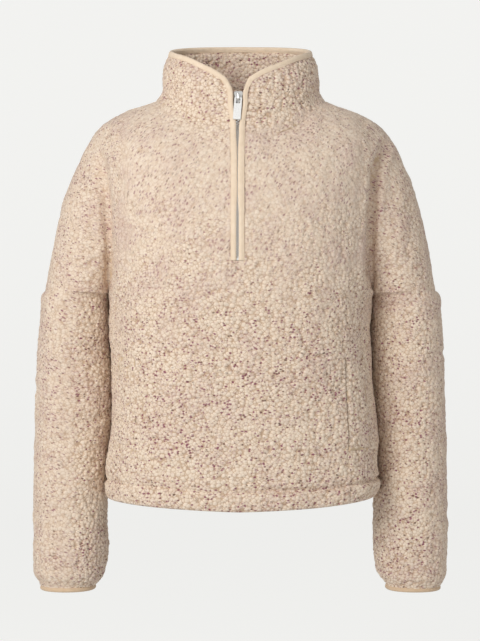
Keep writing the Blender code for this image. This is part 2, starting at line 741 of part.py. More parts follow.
# ---------------------------------------------------------------- sleeves
def sleeve_grids(side):
    """The outer and inner faces of a sleeve, rows up from the cuff."""
    angles = np.linspace(-UNDERSEAM_ANGLE, UNDERSEAM_ANGLE, 2 * ARM_COLUMNS + 1)
    x, y, half_width, half_depth = read_table(SLEEVE, SLEEVE_ROWS)[..., None]
    across = np.sign(np.cos(angles)) * np.abs(np.cos(angles)) ** (2 / SLEEVE_POWER)
    back = np.sign(np.sin(angles)) * np.abs(np.sin(angles)) ** (2 / SLEEVE_POWER)
    height = np.broadcast_to(SLEEVE_ROWS[:, None], (len(SLEEVE_ROWS), len(angles)))
    inner_side = read_table(SWAY[side], SLEEVE_ROWS)[2][:, None] * ease(-np.cos(angles))
    x = x + half_width * across + inner_side
    rings = np.stack([side * x, y + half_depth * back, height], axis=-1)
    top, top_out = arm_ring(side)
    relief = SLEEVE_RELIEF * np.clip(-np.cos(angles), 0, 1) ** 4
    top = top + np.stack([side * relief, 0 * relief, 0 * relief - GAP], axis=-1)
    outer = np.concatenate([rings, top[None]])
    run = np.roll(outer, -1, axis=1) - np.roll(outer, 1, axis=1)
    out = side * unit(np.stack([run[..., 1], -run[..., 0], 0 * run[..., 0]], axis=-1))
    out[-1] = top_out
    wall = np.full((len(outer), 1, 1), FLEECE)
    wall[0] = EDGE_WALL
    return outer[:, ::side], (outer - out * wall)[:, ::side]


def make_sleeve(name, side):
    outer, inner = sleeve_grids(side)
    walled(f"sleeve_{name}", outer, inner, "fleece", closed=True)
    edges = [(face[0, ::-1], face[1, ::-1]) for face in (outer, inner)]
    make_binding(f"cuff_binding_{name}", *edges, closed=True)


# ---------------------------------------------------------------- zip
def zip_spine():
    """Points up the zip's middle, level with the fleece's face."""
    panel = OUTER[-1, 1][ZIP_FOOT_ROW - 1 :, 0] + OUTER[-1, -1][ZIP_FOOT_ROW - 1 :, 0]
    line = np.concatenate([panel, COLLAR[1:, 0] + COLLAR[1:, -1]]) / 2
    line[:, 0] = ZIP_X
    return line


SPINE = zip_spine()
SPINE_IN = unit(np.gradient(SPINE, axis=0))[:, (0, 2, 1)] * (0, 1, -1)


def at_zip(z):
    """The zip's middle at a height, and the direction into the garment there."""
    middle, inwards = (
        np.array([np.interp(z, SPINE[:, 2], line[:, k]) for k in range(3)]) for line in (SPINE, SPINE_IN)
    )
    return middle, unit(inwards)


def make_zip_strip(name, section, heights, finish):
    """A strip of the given section, as (across, depth), up the zip."""
    low, high = heights
    stations = [low, *SPINE[(SPINE[:, 2] > low + 0.002) & (SPINE[:, 2] < high - 0.002), 2], high]
    sections = []
    for z in stations:
        middle, inwards = at_zip(z)
        sections.append([middle + (across, 0, 0) + depth * inwards for across, depth in section])
    lofted(name, np.array(sections), finish)


def box_section(half_width, depths):
    front, back = depths
    return [(-half_width, front), (half_width, front), (half_width, back), (-half_width, back)]


SLIDER_MIDDLE, SLIDER_IN = at_zip(SLIDER_Z)
SLIDER_UP = np.cross((1, 0, 0), SLIDER_IN)


def on_slider(across, along, depth):
    """A point by its place on the slider."""
    return SLIDER_MIDDLE + np.array((across, 0, 0)) + along * SLIDER_UP + depth * SLIDER_IN


def make_slider():
    """Two plates joined by a post at the top, with an arch on the front plate for the pull."""
    solids = []
    for depths in SLIDER_PLATES:
        solids.append([[on_slider(x, a, depth) for x, a in SLIDER_PLATE] for depth in depths])
    half_width, low, high = SLIDER_POST
    middles = [sum(depths) / 2 for depths in SLIDER_PLATES]
    corners = box_section(half_width, (low, high))
    solids.append([[on_slider(x, a, depth) for x, a in corners] for depth in middles])
    sides = (-BRIDGE_HALF_WIDTH, BRIDGE_HALF_WIDTH)
    solids.append([[on_slider(x, a, depth) for a, depth in BRIDGE] for x in sides])
    parts = [lofted("zip_slider", np.array(sections), "metal") for sections in solids]
    unite(parts)


def pull_frame():
    """The pull's hinge, its directions across and up its plate, and out of the garment."""
    hinge = on_slider(0, PULL_HINGE, PULL_DEPTH)
    foot, inwards = at_zip(hinge[2] + PULL[0, 0])
    up = unit(hinge - (foot + (PULL_DEPTH - PULL_FOOT_LIFT) * inwards))
    out = np.cross((1, 0, 0), up)
    up = math.cos(PULL_TILT) * up + math.sin(PULL_TILT) * np.array((1, 0, 0))
    return hinge, np.cross(up, out), up, out


def make_pull():
    """The slotted plate that hangs from the slider's arch."""
    hinge, across, up, out = pull_frame()
    slot = PULL_SLOT_HALF_WIDTH
    grid = np.array(
        [[hinge + x * across + a * up for x in (-half, -slot, slot, half)] for a, half in PULL]
    )
    front, back = grid + PULL_WALL / 2 * out, grid - PULL_WALL / 2 * out
    walled("zip_pull", front, back, "metal", missing={(PULL_SLOT_ROW, 1)})


# ---------------------------------------------------------------- the whole garment
make_panel("front", -1)
make_panel("back", 1)
collar, collar_behind, facing, facing_behind = collar_layers()
walled("collar", collar, collar_behind, "fleece")
walled("collar_facing", facing, facing_behind, "fleece")
bound = [zip_and_collar_edge(*faces) for faces in ((OUTER, collar), (INNER, facing_behind))]
make_binding("edge_binding", *bound)
for name, side in (("left", 1), ("right", -1)):
    make_sleeve(name, side)
    make_welt(f"pocket_welt_{name}", side)
    tape = TAPE_SECTION * (side, 1)
    make_zip_strip(f"zip_tape_{name}", tape, TAPE_Z, "tape")
make_zip_strip("zip_chain", box_section(CHAIN_HALF_WIDTH, CHAIN_DEPTH), CHAIN_Z, "metal")
make_zip_strip("zip_bottom_stop", box_section(CHAIN_HALF_WIDTH, STOP_DEPTH), STOP_Z, "metal")
make_slider()
make_pull()
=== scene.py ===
"""Half-zip pullover in curly sherpa fleece, filled out as if worn, with nobody in it.

Metres, +Z up, the front faces -Y, and the wearer's left is at +X. The sections follow the garment as it
is cut and sewn: body panels, sleeves, pocket welts, collar, bindings, zip, and then the studio round it.
"""

import math

import bpy
import numpy as np
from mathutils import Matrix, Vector


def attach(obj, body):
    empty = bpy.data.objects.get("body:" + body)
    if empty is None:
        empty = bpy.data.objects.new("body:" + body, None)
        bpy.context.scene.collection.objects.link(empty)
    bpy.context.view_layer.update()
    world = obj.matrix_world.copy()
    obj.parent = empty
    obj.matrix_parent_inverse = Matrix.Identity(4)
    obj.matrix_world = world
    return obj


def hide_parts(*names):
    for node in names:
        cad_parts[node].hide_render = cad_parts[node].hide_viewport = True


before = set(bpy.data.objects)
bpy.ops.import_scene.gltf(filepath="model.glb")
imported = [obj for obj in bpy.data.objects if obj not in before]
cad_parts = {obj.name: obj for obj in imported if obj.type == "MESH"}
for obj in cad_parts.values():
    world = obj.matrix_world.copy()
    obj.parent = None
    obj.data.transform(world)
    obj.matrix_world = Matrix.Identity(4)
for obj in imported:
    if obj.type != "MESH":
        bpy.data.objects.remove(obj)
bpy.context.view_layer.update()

# ---------------------------------------------------------------------------------- front and back
# Each panel is one piece of sherpa fleece, a knitted ground with a curly pile, cut as a batwing that runs
# out over the shoulder and down the upper arm. The two are sewn together along shoulders and sides, and
# the hem is turned up inside and stitched through.
GAP = 0.0003  # between neighbouring pieces
FLEECE, HEM_WALL, EDGE_WALL = 0.004, 0.0080, 0.0023  # the cloth's wall, at the hem and where it is bound
HEM_Z, HEM_STITCH_Z, UNDERARM_Z = -0.571, -0.545, -0.283
FRONT_NECK_Z, BACK_NECK_Z, ZIP_FOOT_Z = -0.060, 0.004, -0.234
ZIP_X, SEAM_BACK = -0.004, 0.030
SHOULDER_ROUND, SOFTEN = 0.064, 0.008
TORSO_POWER, NECK_POWER = 2.35, 2.2  # of the superellipses: 2 is an ellipse, more is boxier
HEM_PUFF = 0.0025
STITCH_REACH, STITCH_DEPTH, STITCH_DEEPER = 0.0034, 0.0030, 0.0022  # the last: so much more to the left
HEM_SAG, HEM_RISE, HEM_RISE_LEFT = 0.0056, 0.0094, 0.0030  # down in the middle, up from there to the sides
NECK_GROOVE = 0.0030  # how deep the neck seam draws the cloth in
SHOULDER = np.array(  # the shoulder seam in front view, from dropped seam to neck: x, z
    [
        (0.2820, -0.2720),
        (0.2755, -0.2290),
        (0.2652, -0.1785),
        (0.2534, -0.1325),
        (0.2402, -0.0995),
        (0.2253, -0.0690),
        (0.2114, -0.0477),
        (0.1990, -0.0343),
        (0.1756, -0.0215),
        (0.1466, -0.0110),
        (0.1208, -0.0025),
    ]
)
TORSO = np.array(  # z, half width, front depth, back depth
    [
        (-0.5710, 0.1895, 0.1190, 0.1080),
        (-0.5000, 0.1910, 0.1210, 0.1110),
        (-0.4300, 0.1900, 0.1235, 0.1110),
        (-0.3500, 0.1880, 0.1275, 0.1110),
        (-0.2830, 0.1880, 0.1305, 0.1140),
        (-0.2200, 0.1895, 0.1310, 0.1175),
        (-0.1500, 0.1940, 0.1220, 0.1180),
        (-0.1000, 0.2000, 0.1090, 0.1130),
        (-0.0600, 0.2120, 0.0950, 0.1060),
        (0.0100, 0.2300, 0.0700, 0.0930),
    ]
)
UPPER_ARM = np.array(  # z, half width, half depth, depth of the web between arm and torso
    [
        (-0.2830, 0.0470, 0.0580, 0.0000),
        (-0.2600, 0.0475, 0.0590, 0.0120),
        (-0.2300, 0.0490, 0.0590, 0.0240),
        (-0.1800, 0.0510, 0.0570, 0.0340),
        (-0.1200, 0.0530, 0.0510, 0.0390),
        (-0.0500, 0.0560, 0.0440, 0.0420),
        (0.0100, 0.0560, 0.0400, 0.0420),
    ]
)
FOLD = np.array(  # the fold between torso and arm: share of the way from underarm to neck, x
    [(0.00, 0.1885), (0.35, 0.1880), (0.50, 0.1900), (0.65, 0.1760), (0.80, 0.1430), (1.00, 0.0850)]
)
SLIT = np.array(  # half the width of the slit for the zip: z, half width
    [
        (HEM_Z, 0.0031),
        (ZIP_FOOT_Z, 0.0031),
        (-0.0600, 0.0037),
        (-0.0380, 0.0042),
        (-0.0270, 0.0058),
        (-0.0174, 0.0074),
        (0.0020, 0.0079),
        (0.0203, 0.0161),
    ]
)
SWAY = {  # below the underarm, by height: how far the torso's side lies further out and further back, and
    # how much further from the torso the sleeve's inner side lies, for the wearer's right and left
    -1: np.array(
        [
            (-0.6000, 0.0000, 0.0000, 0.0000),
            (-0.5220, 0.0010, 0.0000, -0.0005),
            (-0.5030, -0.0015, 0.0000, -0.0030),
            (-0.4860, -0.0035, 0.0000, -0.0055),
            (-0.4620, -0.0050, 0.0000, -0.0075),
            (-0.4000, -0.0058, 0.0000, -0.0075),
            (-0.3610, -0.0025, 0.0000, -0.0045),
            (-0.3300, -0.0005, 0.0000, -0.0032),
            (-0.2900, 0.0000, 0.0000, -0.0028),
        ]
    ),
    1: np.array(
        [
            (-0.6000, 0.0000, -0.0120, 0.0000),
            (-0.5710, 0.0020, -0.0120, 0.0010),
            (-0.5500, 0.0080, -0.0120, 0.0060),
            (-0.5290, 0.0050, -0.0110, 0.0050),
            (-0.5150, 0.0038, -0.0100, 0.0045),
            (-0.4860, 0.0058, -0.0080, 0.0045),
            (-0.4440, 0.0028, -0.0050, 0.0010),
            (-0.4000, 0.0000, -0.0020, -0.0025),
            (-0.3610, -0.0008, 0.0000, -0.0030),
            (-0.3200, -0.0020, 0.0000, -0.0035),
            (-0.2900, -0.0004, 0.0000, -0.0028),
        ]
    ),
}
COARSE = 4  # the inner face has one cell for so many of the outer face's, each way
TORSO_CELLS, ARM_CELLS = 140, 56
LOWER_CELLS, FOOT_CELLS, SLIT_CELLS = 152, 24, 88
SIDE, HALF = TORSO_CELLS, TORSO_CELLS + ARM_CELLS
UNDERARM, ZIP_FOOT = LOWER_CELLS, LOWER_CELLS + FOOT_CELLS
FINE = 400
BAND = 0.0066  # the width of the cloth that a binding covers and presses thin
PRESSED, WELT_BED = 0.0004, 0.0018  # how far the face is lowered under a binding and under a welt
WELT_ROWS, WELT_COLUMNS = (40, 108), (80, 104)  # where the pocket welts lie on each half of the front


def read_table(table, at):
    """The table's other columns at values of its first, on a smooth curve through the rows."""
    keys, rows = table[:, 0], table[:, 1:]
    at = np.clip(np.asarray(at, float), keys[0], keys[-1])
    slopes = np.gradient(rows, keys, axis=0)
    i = np.clip(np.searchsorted(keys, at, side="right") - 1, 0, len(keys) - 2)
    step = (keys[i + 1] - keys[i])[..., None]
    s = (at - keys[i])[..., None] / step
    rise = rows[i + 1] - rows[i]
    bend = (1 - s) * (slopes[i] * step - rise) + s * (rise - slopes[i + 1] * step)
    found = rows[i] + s * rise + s * (1 - s) * bend
    return found[..., 0] if rows.shape[1] == 1 else np.moveaxis(found, -1, 0)


def lengths_along(points):
    """The length from the first point of a line to each of its points."""
    return np.concatenate([[0], np.cumsum(np.linalg.norm(np.diff(points, axis=0), axis=1))])


def spaced(points, at):
    """The points of a line at the given lengths along it."""
    along = lengths_along(points)
    return np.stack([np.interp(at, along, points[:, k]) for k in range(points.shape[1])], axis=1)


def ease(share):
    """0 to 1 with no slope at either end."""
    share = np.clip(share, 0, 1)
    return share * share * (3 - 2 * share)


def hump(away, reach):
    """A bell curve: 1 where away is nothing, and 0.37 at reach."""
    return np.exp(-((away / reach) ** 2))


def unit(vectors):
    """The same directions, one metre long."""
    return vectors / np.maximum(np.linalg.norm(vectors, axis=-1, keepdims=True), 1e-12)


def soft_max(a, b):
    """The larger of two depths, with the change from one to the other softened."""
    return (a + b + np.sqrt((a - b) ** 2 + SOFTEN**2)) / 2


knots = np.concatenate([lengths_along(SHOULDER)[:, None], SHOULDER], axis=1)
SHOULDER_LINE = np.stack(read_table(knots, np.linspace(0, knots[-1, 0], FINE)), axis=1)
SHOULDER_LINE = spaced(SHOULDER_LINE, np.linspace(0, lengths_along(SHOULDER_LINE)[-1], FINE))


def seam_y(x):
    """How far back the side and shoulder seams lie: nothing at the neck, 30 mm out on the arm."""
    return SEAM_BACK * ease((np.abs(x) - 0.10) / 0.17)


def from_line(x, z, line):
    """Distance in front view to a line of points."""
    start, run = line[:-1], np.diff(line, axis=0)
    to = np.stack([x, z], axis=-1)[..., None, :] - start
    share = np.clip((to * run).sum(-1) / (run * run).sum(-1), 0, 1)
    return np.linalg.norm(to - share[..., None] * run, axis=-1).min(-1)


def quarter_round(distance, reach):
    """0 at the edge and 1 at reach from it, as a quarter circle, and 0 again at twice that."""
    return np.sqrt(np.clip(1 - (1 - distance / reach) ** 2, 0, 1))


def torso_depth(x, z, face):
    """A superellipse across each height: how far the torso stands off the seams' surface."""
    width, front, back = read_table(TORSO, z)
    middle = front + seam_y(x) if face < 0 else back - seam_y(x)
    return middle * np.clip(1 - (np.abs(x) / width) ** TORSO_POWER, 0, 1) ** (1 / TORSO_POWER)


def upper_row(share, face, start):
    """A row above the underarm, from the middle out to the shoulder seam: a bowed line in front view, set
    off the seams' surface by the softened largest of torso, web and arm, and turning oval at the neck."""
    end_x, end_z = spaced(SHOULDER_LINE, [share * lengths_along(SHOULDER_LINE)[-1]])[0]
    neck_z, bow = (FRONT_NECK_Z, 1 + 1.8 * share) if face < 0 else (BACK_NECK_Z, 1 + share)
    middle_z = UNDERARM_Z + share * (neck_z - UNDERARM_Z)
    x = start + (end_x - start) * (1 - (1 - np.linspace(0, 1, FINE)) ** 2)
    z = middle_z + (end_z - middle_z) * (np.abs(x) / end_x) ** bow
    arm_width, arm_depth, web = read_table(UPPER_ARM, z)
    past_neck = SHOULDER_LINE[-1] + 0.2 * unit(SHOULDER_LINE[-1] - SHOULDER_LINE[-15])
    away = from_line(np.abs(x), z, np.concatenate([SHOULDER_LINE[::9], SHOULDER_LINE[-1:], past_neck[None]]))
    rounding = quarter_round(np.minimum(away, SHOULDER_ROUND), SHOULDER_ROUND)
    arm = arm_depth * quarter_round(np.minimum(away, 2 * arm_width), arm_width)
    body = soft_max(torso_depth(x, z, face), web) * rounding
    stand = soft_max(body, arm) * ease(away / SOFTEN + 0.3)
    oval = stand[0] * np.clip(1 - (np.abs(x) / end_x) ** NECK_POWER, 0, 1) ** (1 / NECK_POWER)
    stand += (oval - stand) * ease(2 * share - 1)
    stand[-1] = 0
    line = np.stack([x, seam_y(x) + face * (GAP / 2 + stand), z], axis=1)
    along = lengths_along(line)
    fold = np.interp(read_table(FOLD, share), x, along)
    torso = np.linspace(0, fold, TORSO_CELLS + 1)
    return spaced(line, np.concatenate([torso, np.linspace(fold, along[-1], ARM_CELLS + 1)[1:]]))


def lower_row(z, face, start):
    """A level row below the underarm, from the middle to the side seam, which the arm's columns repeat."""
    width = read_table(TORSO, z)[0]
    x = start + (width - start) * (1 - (1 - np.linspace(0, 1, FINE)) ** 2)
    y = seam_y(x) + face * (GAP / 2 + torso_depth(x, np.full(FINE, z), face))
    line = np.stack([x, y, np.full(FINE, z)], axis=1)
    row = spaced(line, np.linspace(0, lengths_along(line)[-1], TORSO_CELLS + 1))
    return np.concatenate([row, np.repeat(row[-1:], ARM_CELLS, axis=0)])


SLIT_SHARE = (ZIP_FOOT_Z - UNDERARM_Z) / (FRONT_NECK_Z - UNDERARM_Z)
LOWER_ROWS = np.linspace(HEM_Z, UNDERARM_Z, LOWER_CELLS + 1)[:-1]
UPPER_ROWS = np.concatenate(
    [np.linspace(0, SLIT_SHARE, FOOT_CELLS + 1), np.linspace(SLIT_SHARE, 1, SLIT_CELLS + 1)[1:]]
)


def swayed(row, z, side):
    """A row below the underarm with its side moved to where it hangs, and towards the hem in the hem's
    arc: lower in the middle, higher at the sides."""
    out, back, _ = read_table(SWAY[side], z)
    from_middle = np.clip(row[:, :1] / read_table(TORSO, z)[0], 0, 1)
    share = ease((from_middle - 0.5) / 0.5)
    arc = HEM_RISE * from_middle**1.3 - HEM_SAG + HEM_RISE_LEFT * (side > 0) * share
    return row + share * (out, back, 0) + ease((-0.48 - z) / 0.08) * arc * (0, 0, 1)


def half_panel(face, side):
    """Half a panel's outer face, rows up and columns from the middle out."""
    heights = np.concatenate([LOWER_ROWS, UNDERARM_Z + UPPER_ROWS * (FRONT_NECK_Z - UNDERARM_Z)])
    starts = side * ZIP_X + read_table(SLIT, heights) if face < 0 else 0 * heights
    rows = [swayed(lower_row(z, face, start), z, side) for z, start in zip(LOWER_ROWS, starts)]
    rows += [upper_row(s, face, start) for s, start in zip(UPPER_ROWS, starts[UNDERARM:])]
    return np.array(rows) * (side, 1, 1)


def grid_normals(points):
    """Directions out of the cloth at a grid's points: columns x rows."""
    return unit(np.cross(np.gradient(points, axis=1), np.gradient(points, axis=0)))


def half_out(half, face, side):
    """Directions out of half a panel, shared with the neighbour along each seam."""
    order = -face * side
    out = grid_normals(half[:, ::order])[:, ::order].copy()
    out[UNDERARM:, SIDE:] = grid_normals(half[UNDERARM:, ::order])[:, ::order][:, SIDE:]
    out[0, :, 2] = 0
    for row, share in enumerate(UPPER_ROWS, UNDERARM):
        i = int(round(share * (FINE - 1)))
        run = SHOULDER_LINE[min(i + 1, FINE - 1)] - SHOULDER_LINE[max(i - 1, 0)]
        out[row, HALF] = (side * run[1], 0, -run[0])
    out[:UNDERARM, SIDE:] = (side, 0, 0)
    return unit(out)


def joined(right, left, face):
    """Two halves as one grid whose columns x rows points out of the garment. The front has four cells
    more between them, which stay empty where the zip's slit is."""
    if face > 0:
        return np.concatenate([left[:, ::-1], right[:, 1:]], axis=1)
    shares = np.array([0.25, 0.5, 0.75])[:, None]
    between = right[:, :1] + shares * (left[:, :1] - right[:, :1])
    return np.concatenate([right[:, ::-1], between, left], axis=1)


PANEL, OUT = {}, {}
for face in (-1, 1):
    halves = {side: half_panel(face, side) for side in (-1, 1)}
    outs = {side: half_out(halves[side], face, side) for side in (-1, 1)}
    PANEL[face], OUT[face] = joined(halves[-1], halves[1], face), unit(joined(outs[-1], outs[1], face))
    for side in (-1, 1):
        PANEL[face, side], OUT[face, side] = halves[side], outs[side]


def linear(hex_colour):
    """An sRGB hex colour as linear light, with alpha."""
    channels = np.array([int(hex_colour[i : i + 2], 16) for i in (1, 3, 5)]) / 255
    light = np.where(channels <= 0.04045, channels / 12.92, ((channels + 0.055) / 1.055) ** 2.4)
    return (*light, 1.0)


def add(tree, kind, settings, inputs, output=0):
    """Add a node, set its settings and its inputs, each a value or another node's output, and return one
    of its outputs."""
    made = tree.nodes.new(kind)
    for name, value in settings.items():
        setattr(made, name, value)
    for key, value in inputs.items():
        if isinstance(value, bpy.types.NodeSocket):
            tree.links.new(value, made.inputs[key])
        else:
            made.inputs[key].default_value = value
    return made.outputs[output]


def linked(name, data):
    """A new object in the scene."""
    made = bpy.data.objects.new(name, data)
    bpy.context.scene.collection.objects.link(made)
    return made


def textured(points, kind, settings, inputs, outputs):
    """A texture's values at an array of points: the same texture node that the materials use is stored on
    a throwaway cloud of points and read back, so that form and colour fall in the same places."""
    cloud = bpy.data.meshes.new("cloud")
    cloud.vertices.add(points.size // 3)
    cloud.vertices.foreach_set("co", points.astype(np.float32).ravel())
    carrier = linked("cloud", cloud)
    tree = bpy.data.node_groups.new("reading", "GeometryNodeTree")
    for way in ("INPUT", "OUTPUT"):
        tree.interface.new_socket("Geometry", in_out=way, socket_type="NodeSocketGeometry")
    place = add(tree, "GeometryNodeInputPosition", {}, {})
    add(tree, kind, settings, {"Vector": place, **inputs})
    texture = tree.nodes[-1]
    geometry = add(tree, "NodeGroupInput", {}, {})
    for name in outputs:
        store = {"Geometry": geometry, "Name": name, "Value": texture.outputs[name]}
        kept = "FLOAT" if texture.outputs[name].type == "VALUE" else "FLOAT_VECTOR"
        geometry = add(tree, "GeometryNodeStoreNamedAttribute", {"data_type": kept}, store)
    add(tree, "NodeGroupOutput", {}, {0: geometry}, output=slice(0))
    carrier.modifiers.new("reading", "NODES").node_group = tree
    read = carrier.evaluated_get(bpy.context.evaluated_depsgraph_get()).data
    found = []
    for name in outputs:
        wide = 1 if read.attributes[name].data_type == "FLOAT" else 3
        values = np.empty(len(cloud.vertices) * wide, np.float32)
        read.attributes[name].data.foreach_get("value" if wide == 1 else "vector", values)
        found.append(values.reshape(*points.shape[:-1], wide)[..., 0 if wide == 1 else slice(None)])
    bpy.data.objects.remove(carrier)
    bpy.data.meshes.remove(cloud)
    bpy.data.node_groups.remove(tree)
    return found


def noise_at(points, scale, detail=1.0):
    """A noise texture's values at points, with their middle at 0."""
    return textured(points, "ShaderNodeTexNoise", {}, {"Scale": scale, "Detail": detail}, ["Fac"])[0] - 0.5


CURL, CURL_DEPTH = 0.0052, 0.0012  # across one curl of the pile, and down between two


def brushed(points, share):
    """The share of combed pile, with cloudy patches about 40 mm across laid over the given share."""
    return ease(share + 1.6 * noise_at(points, 24.0, 2.0))


def outside_arm(points, side):
    """1 on the outer side of the arm, where the pile is combed: more of the wearer's right arm."""
    return ease((side * points[..., 0] - (0.2175 if side < 0 else 0.2525)) / 0.03)


def pile(points, out, combed, keep=1.0):
    """Where the pile lies, and the cloth's face with it: the attributes' values and the new points.

    The curls are the cells of a cell texture, each a dome that falls with the square of the distance from
    its middle. Combed pile is lower. Two noises, 60 and 17 mm across, make the face a little uneven. keep
    scales all of it, so that it sinks away under bindings and at seams."""
    laid = points * (1, 1, 1.12)
    drift = textured(points, "ShaderNodeTexNoise", {}, {"Scale": 55.0, "Detail": 1.0}, ["Color"])[0]
    laid = laid + 0.006 * (drift - 0.5)
    near, chance = textured(
        laid, "ShaderNodeTexVoronoi", {"feature": "F1"}, {"Scale": 1 / CURL}, ["Distance", "Color"]
    )
    cobble = (0.7 - (near / 0.62) ** 2) * (0.7 + 0.6 * chance[..., 0])
    uneven = 0.0060 * noise_at(points, 16.0) + 0.0036 * noise_at(points, 60.0)
    high = CURL_DEPTH * (1 - 0.6 * combed) * cobble + uneven
    return laid, points + out * (keep * high)[..., None]


def folds(x, z, lines):
    """Creases laid into the cloth along listed lines: along each line a trough, with a low ridge on either
    side of it, that fades towards the line's ends. A line is its points, its depth and its width."""
    relief = np.zeros_like(x)
    for points, depth, width in lines:
        line = np.array(points, float)
        line = spaced(line, np.linspace(0, lengths_along(line)[-1], 12))
        away = from_line(x, z, line) / width
        ends = np.minimum(*(np.hypot(x - end[0], z - end[1]) for end in (line[0], line[-1])))
        fade = 0.25 + 0.75 * ease(ends / (2.5 * width))
        relief += depth * fade * (0.35 * hump(away - 2.1, 1) - hump(away, 1))
    return relief


def steps_in(cells, most):
    """For each point of a grid, how many cells it lies from the edge of the cells that exist, up to most."""
    there = np.pad(cells, 1)
    inside = there[1:, 1:] & there[:-1, 1:] & there[1:, :-1] & there[:-1, :-1]
    steps = inside.astype(float)
    for _ in range(most - 1):
        around = np.pad(inside, 1)
        inside = inside & around[2:, 1:-1] & around[:-2, 1:-1] & around[1:-1, 2:] & around[1:-1, :-2]
        steps += inside
    return steps


def formed(name, points, polygons, materials, **attributes):
    """A new smooth object: its points, its polygons as arrays of one or more widths, its materials, and
    values at its points."""
    mesh = bpy.data.meshes.new(name)
    sizes = np.concatenate([np.full(len(p), p.shape[1]) for p in polygons])
    corners = np.concatenate([p.ravel() for p in polygons])
    mesh.vertices.add(len(points))
    mesh.vertices.foreach_set("co", points.astype(np.float32).ravel())
    mesh.loops.add(len(corners))
    mesh.loops.foreach_set("vertex_index", corners.astype(np.int32))
    mesh.polygons.add(len(sizes))
    mesh.polygons.foreach_set("loop_start", np.concatenate([[0], np.cumsum(sizes)[:-1]]).astype(np.int32))
    mesh.update(calc_edges=True)
    mesh.shade_smooth()
    for key, values in attributes.items():
        kind, field = ("FLOAT_VECTOR", "vector") if values.ndim == 2 else ("FLOAT", "value")
        kept = mesh.attributes.new(key, kind, "POINT")
        kept.data.foreach_set(field, values.astype(np.float32).ravel())
    for material in materials:
        mesh.materials.append(material)
    return linked(name, mesh)


def stands_for(made, node, body="garment"):
    """Attach a piece to the body it rides on, and hide the node it replaces."""
    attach(made, body)
    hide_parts(node)
    return made


def cloth(name, outer, inner, cells, closed=False, **attributes):
    """A piece of fleece: a closed wall between two grids of points, with fine cells outside, COARSE times
    as wide inside, and a rim all round, sharp along its edges except at the hem's fold, so that the pile's
    shading runs on over seams. Along the rim the inner cells are polygons with all of the rim's points.
    closed joins the last column to the first. Attributes are values at the outer points."""
    across = outer.shape[1]
    number = np.arange(outer.shape[0] * across).reshape(-1, across)
    behind = number.size
    r, c = np.nonzero(cells)
    d = (c + 1) % across
    quads = np.stack([number[r, c], number[r, d], number[r + 1, d], number[r + 1, c]], axis=1)
    pad = np.pad(cells, 1)
    if closed:
        pad[:, 0], pad[:, -1] = pad[:, -2], pad[:, 1]
    edges = []
    for near, a, b in (
        (pad[:-2, 1:-1], (0, 0), (0, 1)),
        (pad[1:-1, 2:], (0, 1), (1, 1)),
        (pad[2:, 1:-1], (1, 1), (1, 0)),
        (pad[1:-1, :-2], (1, 0), (0, 0)),
    ):
        r, c = np.nonzero(cells & ~near)
        edges.append(
            np.stack([number[r + a[0], (c + a[1]) % across], number[r + b[0], (c + b[1]) % across]], axis=1)
        )
    edges = np.concatenate(edges)
    rims = np.stack([edges[:, 1], edges[:, 0], edges[:, 0] + behind, edges[:, 1] + behind], axis=1)
    r, c = COARSE * np.array(np.nonzero(cells[::COARSE, ::COARSE]))
    outside = ~np.stack(
        [pad[r, c + 1], pad[r + 1, c + COARSE + 1], pad[r + COARSE + 1, c + 1], pad[r + 1, c]], axis=1
    )
    k = np.arange(COARSE)
    corner = 0 * k + COARSE
    down = np.concatenate([0 * k, k, corner, corner - k])
    over = np.concatenate([k, corner, corner - k, 0 * k])
    ring = number[r[:, None] + down, (c[:, None] + over) % across]
    kept = np.repeat(outside, COARSE, axis=1) | (np.arange(4 * COARSE) % COARSE == 0)
    sizes = kept.sum(axis=1)
    inside = []
    for size in np.unique(sizes):
        same = sizes == size
        inside.append(ring[same][kept[same]].reshape(-1, size)[:, ::-1] + behind)
    polygons = [quads, rims, *inside]
    used, place = np.unique(np.concatenate([p.ravel() for p in polygons]), return_inverse=True)
    ends = np.cumsum([p.size for p in polygons])[:-1]
    polygons = [new.reshape(p.shape) for new, p in zip(np.split(place, ends), polygons)]
    points = np.concatenate([outer.reshape(-1, 3), inner.reshape(-1, 3)])[used]
    flat = {key: values.reshape(number.size, *values.shape[2:]) for key, values in attributes.items()}
    doubled = {key: np.concatenate([values, values])[used] for key, values in flat.items()}
    made = formed(name, points, polygons, (FLEECE_MATERIAL, GROUND_MATERIAL), **doubled)
    mesh = made.data
    rim = np.sort(np.searchsorted(used, edges), axis=1)
    rim = rim[(points[rim][..., 2] > HEM_Z + 0.003).all(axis=1)]
    ends = np.empty(2 * len(mesh.edges), np.int32)
    mesh.edges.foreach_get("vertices", ends)
    ends, pair = np.sort(ends.reshape(-1, 2), axis=1), np.array((1, len(used)), np.int64)
    sharp = mesh.attributes.new("sharp_edge", "BOOLEAN", "EDGE")
    sharp.data.foreach_set("value", np.isin(ends @ pair, rim @ pair))
    inner_side = np.arange(len(mesh.polygons)) >= len(quads) + len(rims)
    mesh.polygons.foreach_set("material_index", inner_side.astype(np.int32))
    return stands_for(made, name)


def new_material(name, constants):
    """A material with constants on its shader's sockets: the material, its node tree and its shader."""
    material = bpy.data.materials.new(name)
    material.use_nodes = True
    shader = material.node_tree.nodes["Principled BSDF"]
    for socket, value in constants.items():
        shader.inputs[socket].default_value = value
    return material, material.node_tree, shader


def surface(tree, shader, colour, height, strength, distance):
    """Give a shader its colour, and bumps by a height."""
    tree.links.new(colour, shader.inputs["Base Color"])
    bump = add(tree, "ShaderNodeBump", {}, {"Strength": strength, "Distance": distance, "Height": height})
    tree.links.new(bump, shader.inputs["Normal"])


